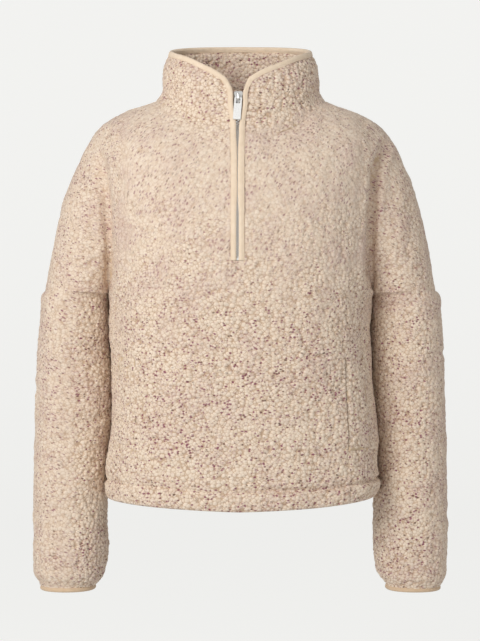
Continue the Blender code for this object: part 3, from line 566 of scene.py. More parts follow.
def sherpa_fleece():
    """Polyester sherpa, brushed up into curls about 5 mm across: the tips are cream, the dips between
    curls are painted tan as shade, and dyed plum and brown fibres show as specks in cloudy patches. The
    pile scatters light, so it has no gloss, only a pale sheen at grazing angles. Where it is combed the
    painted shade in the dips fades, so it is paler, and the specks are drawn out into short strokes the way
    the pile lies."""
    constants = {
        "Roughness": 0.95,
        "Specular IOR Level": 0.15,
        "Sheen Weight": 0.25,
        "Sheen Roughness": 0.55,
        "Sheen Tint": linear("#FFF4E6"),
    }
    material, tree, shader = new_material("sherpa fleece", constants)
    times, plus, less = ({"operation": name} for name in ("MULTIPLY", "MULTIPLY_ADD", "SUBTRACT"))
    smooth, nearest, colours = {"interpolation_type": "SMOOTHSTEP"}, {"feature": "F1"}, {"data_type": "RGBA"}
    laid = add(tree, "ShaderNodeAttribute", {"attribute_name": "laid"}, {}, "Vector")
    combed, aside = (
        add(tree, "ShaderNodeAttribute", {"attribute_name": name}, {}, "Fac") for name in ("combed", "aside")
    )

    # Places turned to a lie of the pile and drawn out along it: the combed pile lies to the wearer's right
    # and down on the chest, and nearly level on the sleeves. The curls' specks are a little wider than tall.
    lies = []
    for degrees, long in ((28, 2.2), (-66, 2.2), (90, 1.3)):
        inputs = {"Vector": laid, "Rotation": (0.0, math.radians(degrees), 0.0), "Scale": (1.0, 1.0, long)}
        lies.append(add(tree, "ShaderNodeMapping", {"vector_type": "TEXTURE"}, inputs))
    lie = {"Factor": aside, 4: lies[0], 5: lies[1]}
    strokes = add(tree, "ShaderNodeMix", {"data_type": "VECTOR"}, lie, 1)
    noises = []
    for vector, wide, detail in ((laid, 0.0012, 2.0), (laid, 0.045, 3.0), (strokes, 0.0042, 1.0)):
        inputs = {"Vector": vector, "Scale": 1 / wide, "Detail": detail, "Roughness": 0.6}
        noises.append(add(tree, "ShaderNodeTexNoise", {}, inputs))
    fibres, clouds, streaks = noises

    # Painted shade in the dips between curls: a dip runs where a curl's middle and the next are equally
    # far, and its painted shade is deeper away from both.
    curls = {"Vector": laid, "Scale": 1 / CURL}
    near, chance = add(tree, "ShaderNodeTexVoronoi", nearest, curls, slice(0, 2))
    second = add(tree, "ShaderNodeTexVoronoi", {"feature": "F2"}, curls)
    further = add(tree, "ShaderNodeMath", less, {0: second, 1: near})
    line = add(tree, "ShaderNodeMapRange", smooth, {0: further, 1: 0.0, 2: 0.26, 3: 1.0, 4: 0.0})
    shade_off_middle = add(tree, "ShaderNodeMapRange", smooth, {0: near, 1: 0.30, 2: 0.75, 3: 0.35, 4: 1.0})
    dip = add(tree, "ShaderNodeMath", times, {0: line, 1: shade_off_middle})

    # Specks are cells drawn by lot, more of them where the clouds are thick: round on curls, or strokes.
    marks = []
    for vector, wide, least, most in ((lies[2], 0.0033, 0.32, 0.88), (strokes, 0.0028, 0.36, 0.95)):
        specks = {"Vector": vector, "Scale": 1 / wide}
        here, pick = add(tree, "ShaderNodeTexVoronoi", nearest, specks, slice(0, 2))
        drawn, strong, _ = add(tree, "ShaderNodeSeparateColor", {}, {0: pick}, slice(0, 3))
        share = add(tree, "ShaderNodeMapRange", smooth, {0: clouds, 1: 0.38, 2: 0.64, 3: least, 4: most})
        chosen = add(tree, "ShaderNodeMath", less, {0: share, 1: drawn})
        chosen = add(tree, "ShaderNodeMapRange", smooth, {0: chosen, 1: 0.0, 2: 0.03})
        dyed = add(tree, "ShaderNodeMapRange", smooth, {0: strong, 1: 0.45, 2: 0.80, 3: 0.30, 4: 1.0})
        spot = add(tree, "ShaderNodeMapRange", smooth, {0: here, 1: 0.30, 2: 0.58, 3: 1.0, 4: 0.0})
        chosen = add(tree, "ShaderNodeMath", times, {0: chosen, 1: dyed})
        marks.append(add(tree, "ShaderNodeMath", times, {0: chosen, 1: spot}))
    off_tip = add(tree, "ShaderNodeMapRange", smooth, {0: near, 1: 0.15, 2: 0.45, 3: 0.45, 4: 1.0})
    curled = add(tree, "ShaderNodeMath", times, {0: marks[0], 1: off_tip})
    fleck = add(tree, "ShaderNodeMix", {"data_type": "FLOAT"}, {0: combed, 2: curled, 3: marks[1]})
    _, hue, bright = add(tree, "ShaderNodeSeparateColor", {}, {0: chance}, slice(0, 3))
    brown = add(tree, "ShaderNodeMapRange", smooth, {0: hue, 1: 0.72, 2: 0.84})
    dyes = {0: brown, 6: linear("#7B2E50"), 7: linear("#5E4032")}
    dye = add(tree, "ShaderNodeMix", colours, dyes, 2)

    # The layers of colour, each laid over the last by its share: duller curls, pink clouds, tan streaks
    # in the combed pile, the painted shade in the dips and the specks.
    dull = add(tree, "ShaderNodeMapRange", smooth, {0: bright, 1: 0.0, 2: 1.0, 3: 0.22, 4: 0.0})
    pink = add(tree, "ShaderNodeMapRange", smooth, {0: clouds, 1: 0.42, 2: 0.70, 3: 0.0, 4: 0.17})
    streaks = add(tree, "ShaderNodeMapRange", smooth, {0: streaks, 1: 0.50, 2: 0.72, 3: 0.0, 4: 0.35})
    streaks = add(tree, "ShaderNodeMath", times, {0: streaks, 1: combed})
    layers = [(dull, linear("#CDAE8E")), (pink, linear("#BF9C99")), (streaks, linear("#C3A184"))]
    for share, most, on_chest, on_arms, tint in (
        # the painted shade in the dips, weaker where the pile is combed
        (dip, 0.72, -0.48, 0.20, linear("#AE8B6B")),
        (fleck, 0.88, -0.34, 0.22, dye),
    ):
        change = add(tree, "ShaderNodeMath", plus, {0: aside, 1: on_arms, 2: on_chest})
        strength = add(tree, "ShaderNodeMath", plus, {0: combed, 1: change, 2: most})
        layers.append((add(tree, "ShaderNodeMath", times, {0: share, 1: strength}), tint))
    tips = {0: combed, 6: linear("#E9D8C4"), 7: linear("#E4D3C0")}
    colour = add(tree, "ShaderNodeMix", colours, tips, 2)
    for share, tint in layers:
        colour = add(tree, "ShaderNodeMix", colours, {0: share, 6: colour, 7: tint}, 2)

    # The bumps: a dome on each curl, flatter where it is combed, and the fibres over it.
    square = add(tree, "ShaderNodeMath", times, {0: near, 1: near})
    fall = add(tree, "ShaderNodeMath", plus, {0: combed, 1: 1.2, 2: -1.9})
    dome = add(tree, "ShaderNodeMath", times, {0: square, 1: fall})
    height = add(tree, "ShaderNodeMath", plus, {0: fibres, 1: 0.34, 2: dome})
    surface(tree, shader, colour, height, 0.6, 0.0008)
    return material


def two_toned(tree, shader, shade, low, high, height, strength, distance):
    """A cloth of two colours, mixed by its shade, with bumps by its height."""
    colours = {0: shade, 6: linear(low), 7: linear(high)}
    colour = add(tree, "ShaderNodeMix", {"data_type": "RGBA"}, colours, 2)
    surface(tree, shader, colour, height, strength, distance)


WAVE = 0.314  # how far apart a wave texture's bands are at a scale of 1


def knitted_ground():
    """The back of the fleece: a plain fine knit, its wales about 1 mm apart, matte and flat, drawn at
    twice that so that they show."""
    material, tree, shader = new_material("knitted ground", {"Roughness": 0.9})
    place = add(tree, "ShaderNodeTexCoord", {}, {}, "Object")
    wales = {"Vector": place, "Scale": WAVE / 0.002, "Distortion": 1.0}
    waves = add(tree, "ShaderNodeTexWave", {"wave_type": "BANDS", "bands_direction": "X"}, wales)
    slubs = add(tree, "ShaderNodeTexNoise", {}, {"Vector": place, "Scale": 240.0, "Detail": 3.0})
    shade = add(tree, "ShaderNodeMath", {"operation": "MULTIPLY"}, {0: waves, 1: slubs})
    two_toned(tree, shader, shade, "#C9AE8E", "#E3CDB1", shade, 0.5, 0.0004)
    return material


FLEECE_MATERIAL, GROUND_MATERIAL = sherpa_fleece(), knitted_ground()
PANEL_FOLDS = {
    -1: [  # the front's creases, in front view: points, depth, width
        (
            [(0.203, -0.070), (0.191, -0.103), (0.186, -0.143), (0.182, -0.203), (0.181, -0.262)],
            0.0080,
            0.0062,
        ),
        ([(-0.196, -0.090), (-0.188, -0.150), (-0.183, -0.215), (-0.184, -0.262)], 0.0050, 0.0068),
        ([(0.088, -0.364), (0.104, -0.366), (0.121, -0.363)], 0.0022, 0.0028),
        ([(-0.142, -0.452), (-0.155, -0.456), (-0.163, -0.466)], 0.0020, 0.0030),
        ([(-0.178, -0.327), (-0.150, -0.342), (-0.122, -0.352)], 0.0018, 0.0060),
    ],
    1: [  # the back's: under the arms, across the shoulder blades and the small of the back
        ([(0.200, -0.080), (0.188, -0.130), (0.184, -0.205), (0.183, -0.262)], 0.0040, 0.0080),
        ([(-0.198, -0.085), (-0.187, -0.140), (-0.182, -0.210), (-0.183, -0.262)], 0.0035, 0.0075),
        ([(0.172, -0.300), (0.120, -0.318), (0.072, -0.325)], 0.0028, 0.0090),
        ([(-0.168, -0.335), (-0.118, -0.352), (-0.060, -0.356)], 0.0024, 0.0100),
        ([(-0.090, -0.440), (-0.020, -0.452), (0.055, -0.446)], 0.0020, 0.0120),
    ],
}


def on_neck_dip(x):
    """Where the neck seam draws the cloth in: the front's part of it on the wearer's left."""
    return ease((x - 0.015) / 0.03) * ease((0.115 - x) / 0.04)


def panel(name, face):
    """A panel with its hem and creases: the hem's casing is puffed up between a sunk line of stitches and
    the turned edge."""
    points, out = PANEL[face], OUT[face]
    cells = np.ones(np.array(points.shape[:2]) - 1, bool)
    cells[:UNDERARM, :ARM_CELLS] = cells[:UNDERARM, -ARM_CELLS:] = False
    if face < 0:
        cells[ZIP_FOOT:, HALF : HALF + 4] = False
    x, z = points[..., 0], points[..., 2]
    arms = outside_arm(points, -1) + outside_arm(points, 1)
    near_neck = np.arange(len(points), 0, -1)[:, None]
    share = (z + 0.36) / 0.28 + 0.5 * arms * ease((-0.08 - z) / 0.12)
    combed = brushed(points, share - 0.55 * hump(near_neck, 9))
    level = z.copy()
    level[:UNDERARM] = LOWER_ROWS[:, None]
    casing = (level - HEM_Z) / (HEM_STITCH_Z - HEM_Z)
    relief = folds(x, z, PANEL_FOLDS[face])
    pushed = np.minimum(relief, 0)
    relief += HEM_PUFF * np.sqrt(np.clip(1 - (2 * casing - 1) ** 2, 0, 1)) * (casing < 1)
    sunk = STITCH_DEPTH + STITCH_DEEPER * ease((x + 0.02) / 0.08)
    relief -= sunk * hump(level - HEM_STITCH_Z - 0.0012 * np.sin(40 * x), STITCH_REACH)
    whole = cells.copy()
    whole[ZIP_FOOT:, HALF : HALF + 4] = True
    steps = steps_in(whole, 6)
    at_seam = ease(steps / 2.5)
    at_seam[UNDERARM : UNDERARM + 4] = at_seam[-4:] = 1  # the pile runs on over dropped seam and neck
    relief -= 0.0007 * (1 - at_seam)
    keep = 0.45 + 0.55 * at_seam
    relief -= NECK_GROOVE * hump(near_neck, 4.5) * on_neck_dip(x) * (face < 0)
    keep *= 1 - 0.5 * hump(near_neck, 3)
    if face < 0:
        flat = hump(x - 0.003, 0.0085) * hump(z - ZIP_FOOT_Z + 0.0045, 0.0042)
        combed, keep = np.maximum(combed, flat), keep * (1 - 0.9 * flat)
        slit = np.abs(x - ZIP_X) - read_table(SLIT, z)
        bound = (slit < BAND) & (z > ZIP_FOOT_Z)
        keep = np.where(bound, 0.12, keep)
        relief = np.where(bound, -PRESSED, relief)
        under = np.zeros(points.shape[:2], bool)
        for side, middle, closer in ((-1, HALF, 1), (1, HALF + 4, 0)):
            first, last = sorted(middle + side * column for column in WELT_COLUMNS)
            under[WELT_ROWS[0] + 1 : WELT_ROWS[1], first + closer : last + 1 - closer] = True
        relief, keep = np.where(under, -WELT_BED, relief), np.where(under, 0, keep)
    laid, piled = pile(points + out * relief[..., None], out, combed, keep)
    aside = ease((np.abs(x) - 0.155) / 0.015)
    wall = FLEECE + (HEM_WALL - FLEECE) * ease((HEM_STITCH_Z + 0.006 - level) / 0.006)
    if face < 0:
        wall = np.where(bound, EDGE_WALL, wall)
    inner = points - out * (wall - pushed)[..., None]
    for underarm in (ARM_CELLS, -ARM_CELLS - 1):
        inner[UNDERARM, underarm] = piled[UNDERARM, underarm]
    return cloth(name, piled, inner, cells, laid=laid, combed=combed, aside=aside)


# Widest from dropped seam to dropped seam, longest from hem to the neck's side.
panel("front", -1)
panel("back", 1)

# ---------------------------------------------------------------------------------- sleeves
# Each sleeve is a tube of the same fleece with its seam under the arm. It is sewn on at the dropped seam,
# where its fulness steps out, and the cuff's binding draws it in at the wrist.
SLEEVE_COLUMNS, SLEEVE_CELLS, TOP_CELLS = 224, 220, 12
CUFF_ROLL = 0.75  # the cuff's binding is so much narrower than the zip's
SLEEVE_POWER = 2.15
SLEEVE_GIRTH = 0.055  # radius at which a turn round the sleeve is measured, for its creases
SLEEVE = np.array(  # z, x, y, half width, half depth
    [
        (-0.7002, 0.2489, 0.0248, 0.0378, 0.0395),
        (-0.6935, 0.2489, 0.0252, 0.0404, 0.0420),
        (-0.6830, 0.2480, 0.0264, 0.0480, 0.0490),
        (-0.6600, 0.2465, 0.0285, 0.0525, 0.0535),
        (-0.6200, 0.2463, 0.0315, 0.0533, 0.0560),
        (-0.5400, 0.2463, 0.0360, 0.0533, 0.0585),
        (-0.4600, 0.2450, 0.0385, 0.0525, 0.0600),
        (-0.3600, 0.2430, 0.0365, 0.0507, 0.0610),
        (-0.3000, 0.2405, 0.0325, 0.0490, 0.0605),
    ]
)
SLEEVE_FOLDS = {  # way round the sleeve from outside, front first, and height: points, depth, width
    1: [
        ([(-0.150, -0.2920), (-0.115, -0.2935), (-0.080, -0.2925)], 0.0022, 0.0035),
        ([(-0.060, -0.3650), (-0.032, -0.3600), (-0.004, -0.3620)], 0.0016, 0.0045),
        ([(-0.152, -0.4600), (-0.120, -0.4720), (-0.095, -0.4790)], 0.0026, 0.0055),
        ([(-0.148, -0.5240), (-0.118, -0.5160), (-0.092, -0.5200)], 0.0018, 0.0060),
        ([(-0.070, -0.5900), (-0.035, -0.5980), (-0.002, -0.5950)], 0.0015, 0.0065),
        ([(0.060, -0.4330), (0.100, -0.4420), (0.140, -0.4380)], 0.0022, 0.0060),
        ([(0.040, -0.4720), (0.085, -0.4800), (0.120, -0.4770)], 0.0018, 0.0070),
        ([(0.075, -0.3330), (0.115, -0.3250), (0.150, -0.3290)], 0.0018, 0.0060),
    ],
    -1: [
        ([(-0.150, -0.3450), (-0.122, -0.3520), (-0.098, -0.3510)], 0.0018, 0.0050),
        ([(-0.154, -0.4450), (-0.124, -0.4560), (-0.100, -0.4570)], 0.0022, 0.0060),
        ([(-0.150, -0.5050), (-0.126, -0.4980), (-0.104, -0.5010)], 0.0016, 0.0055),
        ([(-0.060, -0.4080), (-0.030, -0.4150), (0.000, -0.4120)], 0.0013, 0.0070),
        ([(0.055, -0.4420), (0.095, -0.4500), (0.140, -0.4440)], 0.0022, 0.0065),
        ([(0.050, -0.4900), (0.090, -0.4960), (0.125, -0.4930)], 0.0017, 0.0070),
        ([(0.080, -0.3250), (0.118, -0.3180), (0.150, -0.3220)], 0.0019, 0.0055),
    ],
}


def sleeve_face(side):
    """A sleeve's outer face, rows up from the cuff, columns from the underarm round by the front: at each
    height a superellipse, which over the last rows turns into the upper arm's end."""
    turn = np.linspace(-math.pi, math.pi, SLEEVE_COLUMNS + 1)[:-1]
    heights = np.linspace(SLEEVE[0, 0], SLEEVE[-1, 0], SLEEVE_CELLS + 1)[:, None]
    x, y, half_width, half_depth = read_table(SLEEVE, heights[:, 0])[..., None]
    across, back = (np.sign(way) * np.abs(way) ** (2 / SLEEVE_POWER) for way in (np.cos(turn), np.sin(turn)))
    x = x + half_width * across + read_table(SWAY[side], heights[:, 0])[2][:, None] * ease(-np.cos(turn))
    rings = np.stack([side * x, y + half_depth * back, heights + 0 * turn], axis=-1)
    arcs = [PANEL[face, side][UNDERARM, SIDE:] for face in (-1, 1)]
    half = SLEEVE_COLUMNS // 2 + 1
    front, rear = (spaced(arc, np.linspace(0, lengths_along(arc)[-1], half)) for arc in arcs)
    ring = np.concatenate([front[:-1], rear[:0:-1]])
    ring[0] = (front[0] + rear[0]) / 2
    share = np.linspace(0, 1, TOP_CELLS + 1)[1:, None, None]
    top = rings[-1] + np.concatenate([share**6, share**6, share], axis=2) * (ring - rings[-1])
    return np.concatenate([rings, top])[:, ::side], turn[::side]


def sleeve(name, side):
    """A sleeve with its creases, thin and flat at the cuff where the binding covers it, and the points
    and directions out at its end there."""
    points, turn = sleeve_face(side)
    out = grid_normals(np.concatenate([points[:, -1:], points, points[:, :1]], axis=1))[:, 1:-1].copy()
    out[(0, -1), :, 2] = 0
    out = unit(out)
    cells = np.ones((len(points) - 1, SLEEVE_COLUMNS), bool)
    z = points[..., 2]
    relief = folds(SLEEVE_GIRTH * turn + 0 * z, z, SLEEVE_FOLDS[side])
    pushed = np.minimum(relief, 0)
    bound = z < SLEEVE[0, 0] + CUFF_ROLL * BAND
    relief = np.where(bound, 0, relief)
    keep = np.where(bound, 0.08, 1)
    combed = brushed(points, 0.70 * outside_arm(points, side) + 0.30 * ease((z + 0.36) / 0.08) - 0.03)
    laid, piled = pile(points + out * relief[..., None], out, combed, keep)
    inner = points - out * (np.where(bound, EDGE_WALL, FLEECE) - pushed)[..., None]
    made = cloth(name, piled, inner, cells, True, laid=laid, combed=combed, aside=0 * z + 1)
    return points[0, ::-1], out[0, ::-1]


CUFF = {name: sleeve(f"sleeve_{name}", side) for name, side in (("left", 1), ("right", -1))}

# ---------------------------------------------------------------------------------- pocket welts
# A narrow upright strip of the fleece is stitched down beside each side pocket. Its pile runs on from the
# panel's, so only the soft dips along its edges show, more on the wearer's left.
WELT_INNER = -0.0008  # its inner face, off the panel's, which is lowered under it


def welt(name, side, rise, dip):
    """A strip whose edges are level with the front's face, with a dip inside each edge."""
    rows, columns = slice(WELT_ROWS[0], WELT_ROWS[1] + 1), slice(WELT_COLUMNS[0], WELT_COLUMNS[1] + 1)
    points = PANEL[-1, side][rows, columns][:, ::side]
    out = grid_normals(points)
    cells = np.ones(np.array(points.shape[:2]) - 1, bool)
    steps = steps_in(cells, 6)
    combed = brushed(points, 0 * steps)
    face = points + out * (rise * ease(steps / 4) - dip * hump(steps - 1, 1.2))[..., None]
    laid, piled = pile(face, out, combed, ease((steps + 1.5) / 2.5))
    inner = points + out * WELT_INNER
    made = cloth(name, piled, inner, cells, laid=laid, combed=combed, aside=0 * combed)


welt("pocket_welt_left", 1, 0.0013, 0.0010)
welt("pocket_welt_right", -1, 0.0008, 0.0004)

# ---------------------------------------------------------------------------------- collar
# The stand collar is two layers of the fleece, pile outwards on both, sewn to the neck and open at the
# zip. It leans in above its seam, stands, and leans in again to its bound top edge.
COLLAR_COLUMNS, COLLAR_ROWS = 440, 56
COLLAR_WALL, COLLAR_EDGE_WALL = 0.0032, 0.0010
FACING_START = 0.03  # the facing starts this share of the way up
COLLAR_PILE = 0.85  # the collar's pile is so much lower than the panels'
COLLAR_HALF_WIDTH, COLLAR_FRONT, COLLAR_BACK = 0.0995, 0.0835, 0.0730
COLLAR_TOP = np.array(  # the top edge: degrees round the neck from the front, z
    [
        (9.3, 0.0203),
        (17.0, 0.0290),
        (32.0, 0.0410),
        (46.0, 0.0510),
        (70.0, 0.0620),
        (90.0, 0.0690),
        (120.0, 0.0780),
        (150.0, 0.0840),
        (180.0, 0.0860),
    ]
)
COLLAR_LEAN = np.array(  # share of the height, share of the way in
    [(0.00, 0.00), (0.15, 0.36), (0.45, 0.44), (0.77, 0.62), (1.00, 1.00)]
)


def collar_face(start):
    """The collar's outer face: rows from a share of the way up to its top edge, an oval that rises to the
    back, and columns from the zip round by the wearer's left to the zip again. Its ends follow the slit."""
    quarters = [PANEL[-1, 1][-1], PANEL[1, 1][-1, ::-1], PANEL[1, -1][-1], PANEL[-1, -1][-1, ::-1]]
    seam = np.concatenate([quarter[:-1] for quarter in quarters[:3]] + [quarters[3]])
    around = np.linspace(0, 1, COLLAR_COLUMNS + 1)
    base = spaced(seam, around * lengths_along(seam)[-1])
    degrees = np.linspace(COLLAR_TOP[0, 0], 360 - COLLAR_TOP[0, 0], FINE)
    turn = np.radians(degrees)
    reach = np.where(np.cos(turn) > 0, COLLAR_FRONT, COLLAR_BACK)
    height = read_table(COLLAR_TOP, np.minimum(degrees, 360 - degrees))
    top = np.stack([COLLAR_HALF_WIDTH * np.sin(turn), -reach * np.cos(turn), height], axis=1)
    top = spaced(top, around * lengths_along(top)[-1])
    top[:, 0] += ZIP_X * (1 - ease(8 * np.minimum(around, 1 - around)))
    rise = np.linspace(start, 1, COLLAR_ROWS + 1)
    lean = read_table(COLLAR_LEAN, rise)
    face = base + np.stack([lean, lean, rise], axis=1)[:, None] * (top - base)
    for end, side, from_end in ((0, 1, around), (-1, -1, 1 - around)):
        shift = ZIP_X + side * read_table(SLIT, face[:, end, 2]) - face[:, end, 0]
        face[..., 0] += shift[:, None] * (1 - ease(from_end * lengths_along(seam)[-1] / 0.03))
    return face


def from_bound_edge(face):
    """Each point's distance over the cloth from the top edge and from the two ends at the zip."""
    up = np.linalg.norm(np.diff(face, axis=0), axis=2)
    along = np.linalg.norm(np.diff(face, axis=1), axis=2)
    from_top = np.pad(np.cumsum(up[::-1], axis=0)[::-1], [(0, 1), (0, 0)])
    from_left = np.pad(np.cumsum(along, axis=1), [(0, 0), (1, 0)])
    return np.minimum(from_top, np.minimum(from_left, from_left[:, -1:] - from_left))


def collar_layer(name, start, depth, way):
    """One layer: its pile side lies at depth times the wall behind the collar's face, and way is 1 where
    the pile faces out and -1 where it faces the neck."""
    face = collar_face(start)
    out = grid_normals(face)
    edge = from_bound_edge(face)
    wall = COLLAR_EDGE_WALL + (COLLAR_WALL - COLLAR_EDGE_WALL) * ease((edge - BAND) / 0.003)
    pile_side = face - out * (depth * wall + (depth > 0) * GAP)[..., None]
    behind = face - out * (wall + (depth > 0) * GAP)[..., None]
    cells = np.ones((COLLAR_ROWS, COLLAR_COLUMNS), bool)
    bound = ease((edge - BAND + 0.0006) / 0.002)
    row = np.arange(COLLAR_ROWS + 1)[:, None]
    roll = 0.0014 * hump(row - 9, 4) - NECK_GROOVE * hump(row, 3.5)
    relief = roll * on_neck_dip(face[..., 0]) * (face[..., 1] < 0) * bound * (way > 0)
    points, out, keep = pile_side, way * out, 0.06 + 0.94 * bound * (1 - 0.5 * hump(row, 2.2))
    combed = brushed(points, (way > 0) * (0.10 + 0.45 * hump(row, 8)))
    points, out, keep, combed, relief = (v[:, ::way] for v in (points, out, keep, combed, relief))
    laid, piled = pile(points + out * relief[..., None], out, combed, keep * COLLAR_PILE)
    made = cloth(name, piled, behind[:, ::way], cells, laid=laid, combed=combed, aside=0 * combed)


collar_layer("collar", 0.0, 0, 1)
collar_layer("collar_facing", FACING_START, 2, -1)
COLLAR = collar_face(0.0)

# ---------------------------------------------------------------------------------- bindings
# One strip of plain jersey is folded over both edges of the zip's slit and the collar's top, and a ring
# of it over each cuff. It is a soft roll 8 mm wide, 6.4 mm at the cuffs, sewn down near its inner edge.
ROLL_OUTSIDE = [  # past the cloth's edge, off its face
    (-0.0060, 0.0001),
    (-0.0064, 0.0006),
    (-0.0062, 0.0013),
    (-0.0056, 0.0015),
    (-0.0051, 0.0012),
    (-0.0046, 0.0016),
    (-0.0034, 0.0020),
    (-0.0018, 0.0022),
    (-0.0004, 0.0021),
    (0.0007, 0.0016),
    (0.0014, 0.0006),
]
ROLL_INSIDE = [(0.0002, 0.0001), (-0.0030, 0.0001)]
ROLL = np.array(  # the same, and on which face: 1 outer, 0 at the edge, -1 inner
    [(*point, 1) for point in ROLL_OUTSIDE]
    + [(0.0016, 0.0, 0)]
    + [(*point, -1) for point in ROLL_OUTSIDE[::-1] + ROLL_INSIDE[::-1]]
    + [(0.0004, 0.0, 0)]
    + [(*point, 1) for point in ROLL_INSIDE]
)
STATION = 0.0016  # how far apart the roll's sections are


def jersey(name, low, high):
    """Plain cotton jersey: matte, warm beige, its fine wales 0.9 mm apart across the strip, with the faint
    shading of a knit that is stretched round an edge."""
    constants = {"Roughness": 0.85, "Specular IOR Level": 0.25, "Sheen Weight": 0.15, "Sheen Roughness": 0.5}
    material, tree, shader = new_material(name, constants)
    strip = add(tree, "ShaderNodeAttribute", {"attribute_name": "strip"}, {}, "Vector")
    wales = {"Vector": strip, "Scale": WAVE / 0.0009, "Distortion": 0.6}
    ribs = add(tree, "ShaderNodeTexWave", {"wave_type": "BANDS", "bands_direction": "X"}, wales)
    slubs = add(tree, "ShaderNodeTexNoise", {}, {"Vector": strip, "Scale": 120.0, "Detail": 3.0})
    shade = add(tree, "ShaderNodeMath", {"operation": "MULTIPLY_ADD"}, {0: ribs, 1: 0.35, 2: slubs})
    shade = add(tree, "ShaderNodeMapRange", {}, {0: shade, 1: 0.35, 2: 0.95})
    two_toned(tree, shader, shade, low, high, ribs, 0.4, 0.0003)
    return material


JERSEY = jersey("cotton jersey", "#E1CAAE", "#EEDAC2")
# The cuffs' copy of the jersey is painted darker and browner as shade at the sleeves' lower ends.
SHADED_CUFF_JERSEY = jersey("cuff jersey with painted shade", "#CDB091", "#DAC0A2")


def faces_between(rings):
    """Faces between each ring of point numbers and the next."""
    right = np.roll(rings, -1, axis=-1)
    corners = [rings[..., :-1, :], right[..., :-1, :], right[..., 1:, :], rings[..., 1:, :]]
    return np.stack(corners, axis=-1).reshape(-1, 4)


def carried(name, sections, material, closed=False, **attributes):
    """A closed body through sections that all run the same way round: stations x points. Its ends are
    capped unless it is closed. Attributes are values at the same points."""
    number = np.arange(sections.size // 3).reshape(sections.shape[:2])
    number = np.concatenate([number, number[:1]]) if closed else number
    caps = [] if closed else [number[:1, ::-1], number[-1:]]
    flat = {key: values.reshape(-1, 3) for key, values in attributes.items()}
    return formed(name, sections.reshape(-1, 3), [faces_between(number), *caps], [material], **flat)


def binding(name, edge, out, material, fuller=0.0, wide=1.0, closed=False):
    """A strip carried along a cloth's edge, given by points on the cloth's outer face and directions out.
    Seen from outside, the cloth lies to the right of the way the points run. fuller is how much further
    the roll bulges past the edge at each point, and wide scales how far it reaches over the cloth."""
    middle = edge - out * EDGE_WALL / 2
    if closed:
        ahead, behind = np.roll(middle, -1, axis=0), np.roll(middle, 1, axis=0)
    else:
        ahead, behind = (np.concatenate(p) for p in ((middle[1:], middle[-1:]), (middle[:1], middle[:-1])))
    along = unit(ahead - behind)
    out = unit(out - (out * along).sum(-1, keepdims=True) * along)
    inward = np.cross(along, out)
    past, off, face = ROLL.T
    past = np.where(past < 0, wide * past, past)
    past = past + (fuller + np.zeros(len(edge)))[:, None] * np.clip((past + 0.004) / 0.004, 0, 1)
    off = off * (1 + 0.5 * noise_at(middle, 90.0)[:, None])
    sections = middle[:, None] - past[..., None] * inward[:, None]
    sections = sections + (face * (EDGE_WALL / 2 + off))[..., None] * out[:, None]
    run = lengths_along(edge)[:, None] + 0 * past
    round_it = lengths_along(ROLL[:, :2])[None] + 0 * past
    strip = np.stack([run, round_it, 0 * run], axis=-1)
    made = stands_for(carried(name, sections, material, closed, strip=strip), name)
    length = lengths_along(edge)[-1] + closed * np.linalg.norm(edge[0] - edge[-1])


def bound_edge():
    """The edge from the foot of the slit up its left side, round the collar's top and down its right side,
    evenly spaced and rounded at the collar's two front corners, with its directions out."""
    sides = [(PANEL[-1, side][ZIP_FOOT:, 0], OUT[-1, side][ZIP_FOOT:, 0]) for side in (1, -1)]
    edges = []
    for part, collar in enumerate((COLLAR, grid_normals(COLLAR))):
        around = [collar[1:, 0], collar[-1, 1:-1], collar[:0:-1, -1]]
        edges.append(np.concatenate([sides[0][part], *around, sides[1][part][::-1]]))
    edge, out = edges
    edge[(0, -1), 2] += GAP
    length = lengths_along(edge)[-1]
    at = np.linspace(0, length, int(length / STATION))
    along = lengths_along(edge)
    edge, out = (np.stack([np.interp(at, along, v[:, k]) for k in range(3)], axis=1) for v in (edge, out))
    for _ in range(10):
        for values in (edge, out):
            values[1:-1] = (values[:-2] + 2 * values[1:-1] + values[2:]) / 4
    return edge, unit(out)


def bind_edge():
    """The zip's and collar's binding, which closes over the zip on the chest and leaves the pull free."""
    edge, out = bound_edge()
    height = edge[:, 2]
    closes = ((-0.172, 0.1), (-0.142, 1.3), (-0.078, 1.3), (-0.060, 0.6), (-0.042, 0.5), (-0.030, 0.0))
    fuller = np.interp(height, *zip(*closes)) / 1000
    beside_pull = ease((height + 0.052) / 0.018) * ease((0.018 - height) / 0.012) * (edge[:, 0] > ZIP_X)
    binding("edge_binding", edge, out, JERSEY, fuller - 0.0012 * beside_pull)


bind_edge()
for name in ("left", "right"):
    binding(f"cuff_binding_{name}", *CUFF[name], SHADED_CUFF_JERSEY, wide=CUFF_ROLL, closed=True)

# ---------------------------------------------------------------------------------- zip
# A metal zip: two woven tapes sewn behind the bound edges, nickel-plated teeth clamped on their beads, a
# bottom stop, and a slider near the top whose arch carries a slotted pull.
TAPE_SECTION = np.array(  # from the zip's middle, depth behind the fleece's face: woven flat, with a bead
    [
        (0.0021, 0.0043),
        (0.0027, 0.0039),
        (0.0034, 0.0042),
        (0.0040, 0.0046),
        (0.0070, 0.0052),
        (0.0104, 0.0060),
        (0.0106, 0.0063),
        (0.0104, 0.0066),
        (0.0070, 0.0058),
        (0.0040, 0.0052),
        (0.0034, 0.0055),
        (0.0027, 0.0056),
        (0.0021, 0.0051),
    ]
)
TAPE_Z = (-0.2440, 0.0010)
TOOTH_PITCH, TEETH_Z = 0.0035, (-0.2285, -0.0135)  # drawn coarser than their 2.6 mm, so that they show
TOOTH_HALF = np.array(  # its lower half, seen from the front: across from the zip's middle, up
    [(-0.0002, -0.00045), (0.0002, -0.00078), (0.0012, -0.00082), (0.0024, -0.00074)]
)
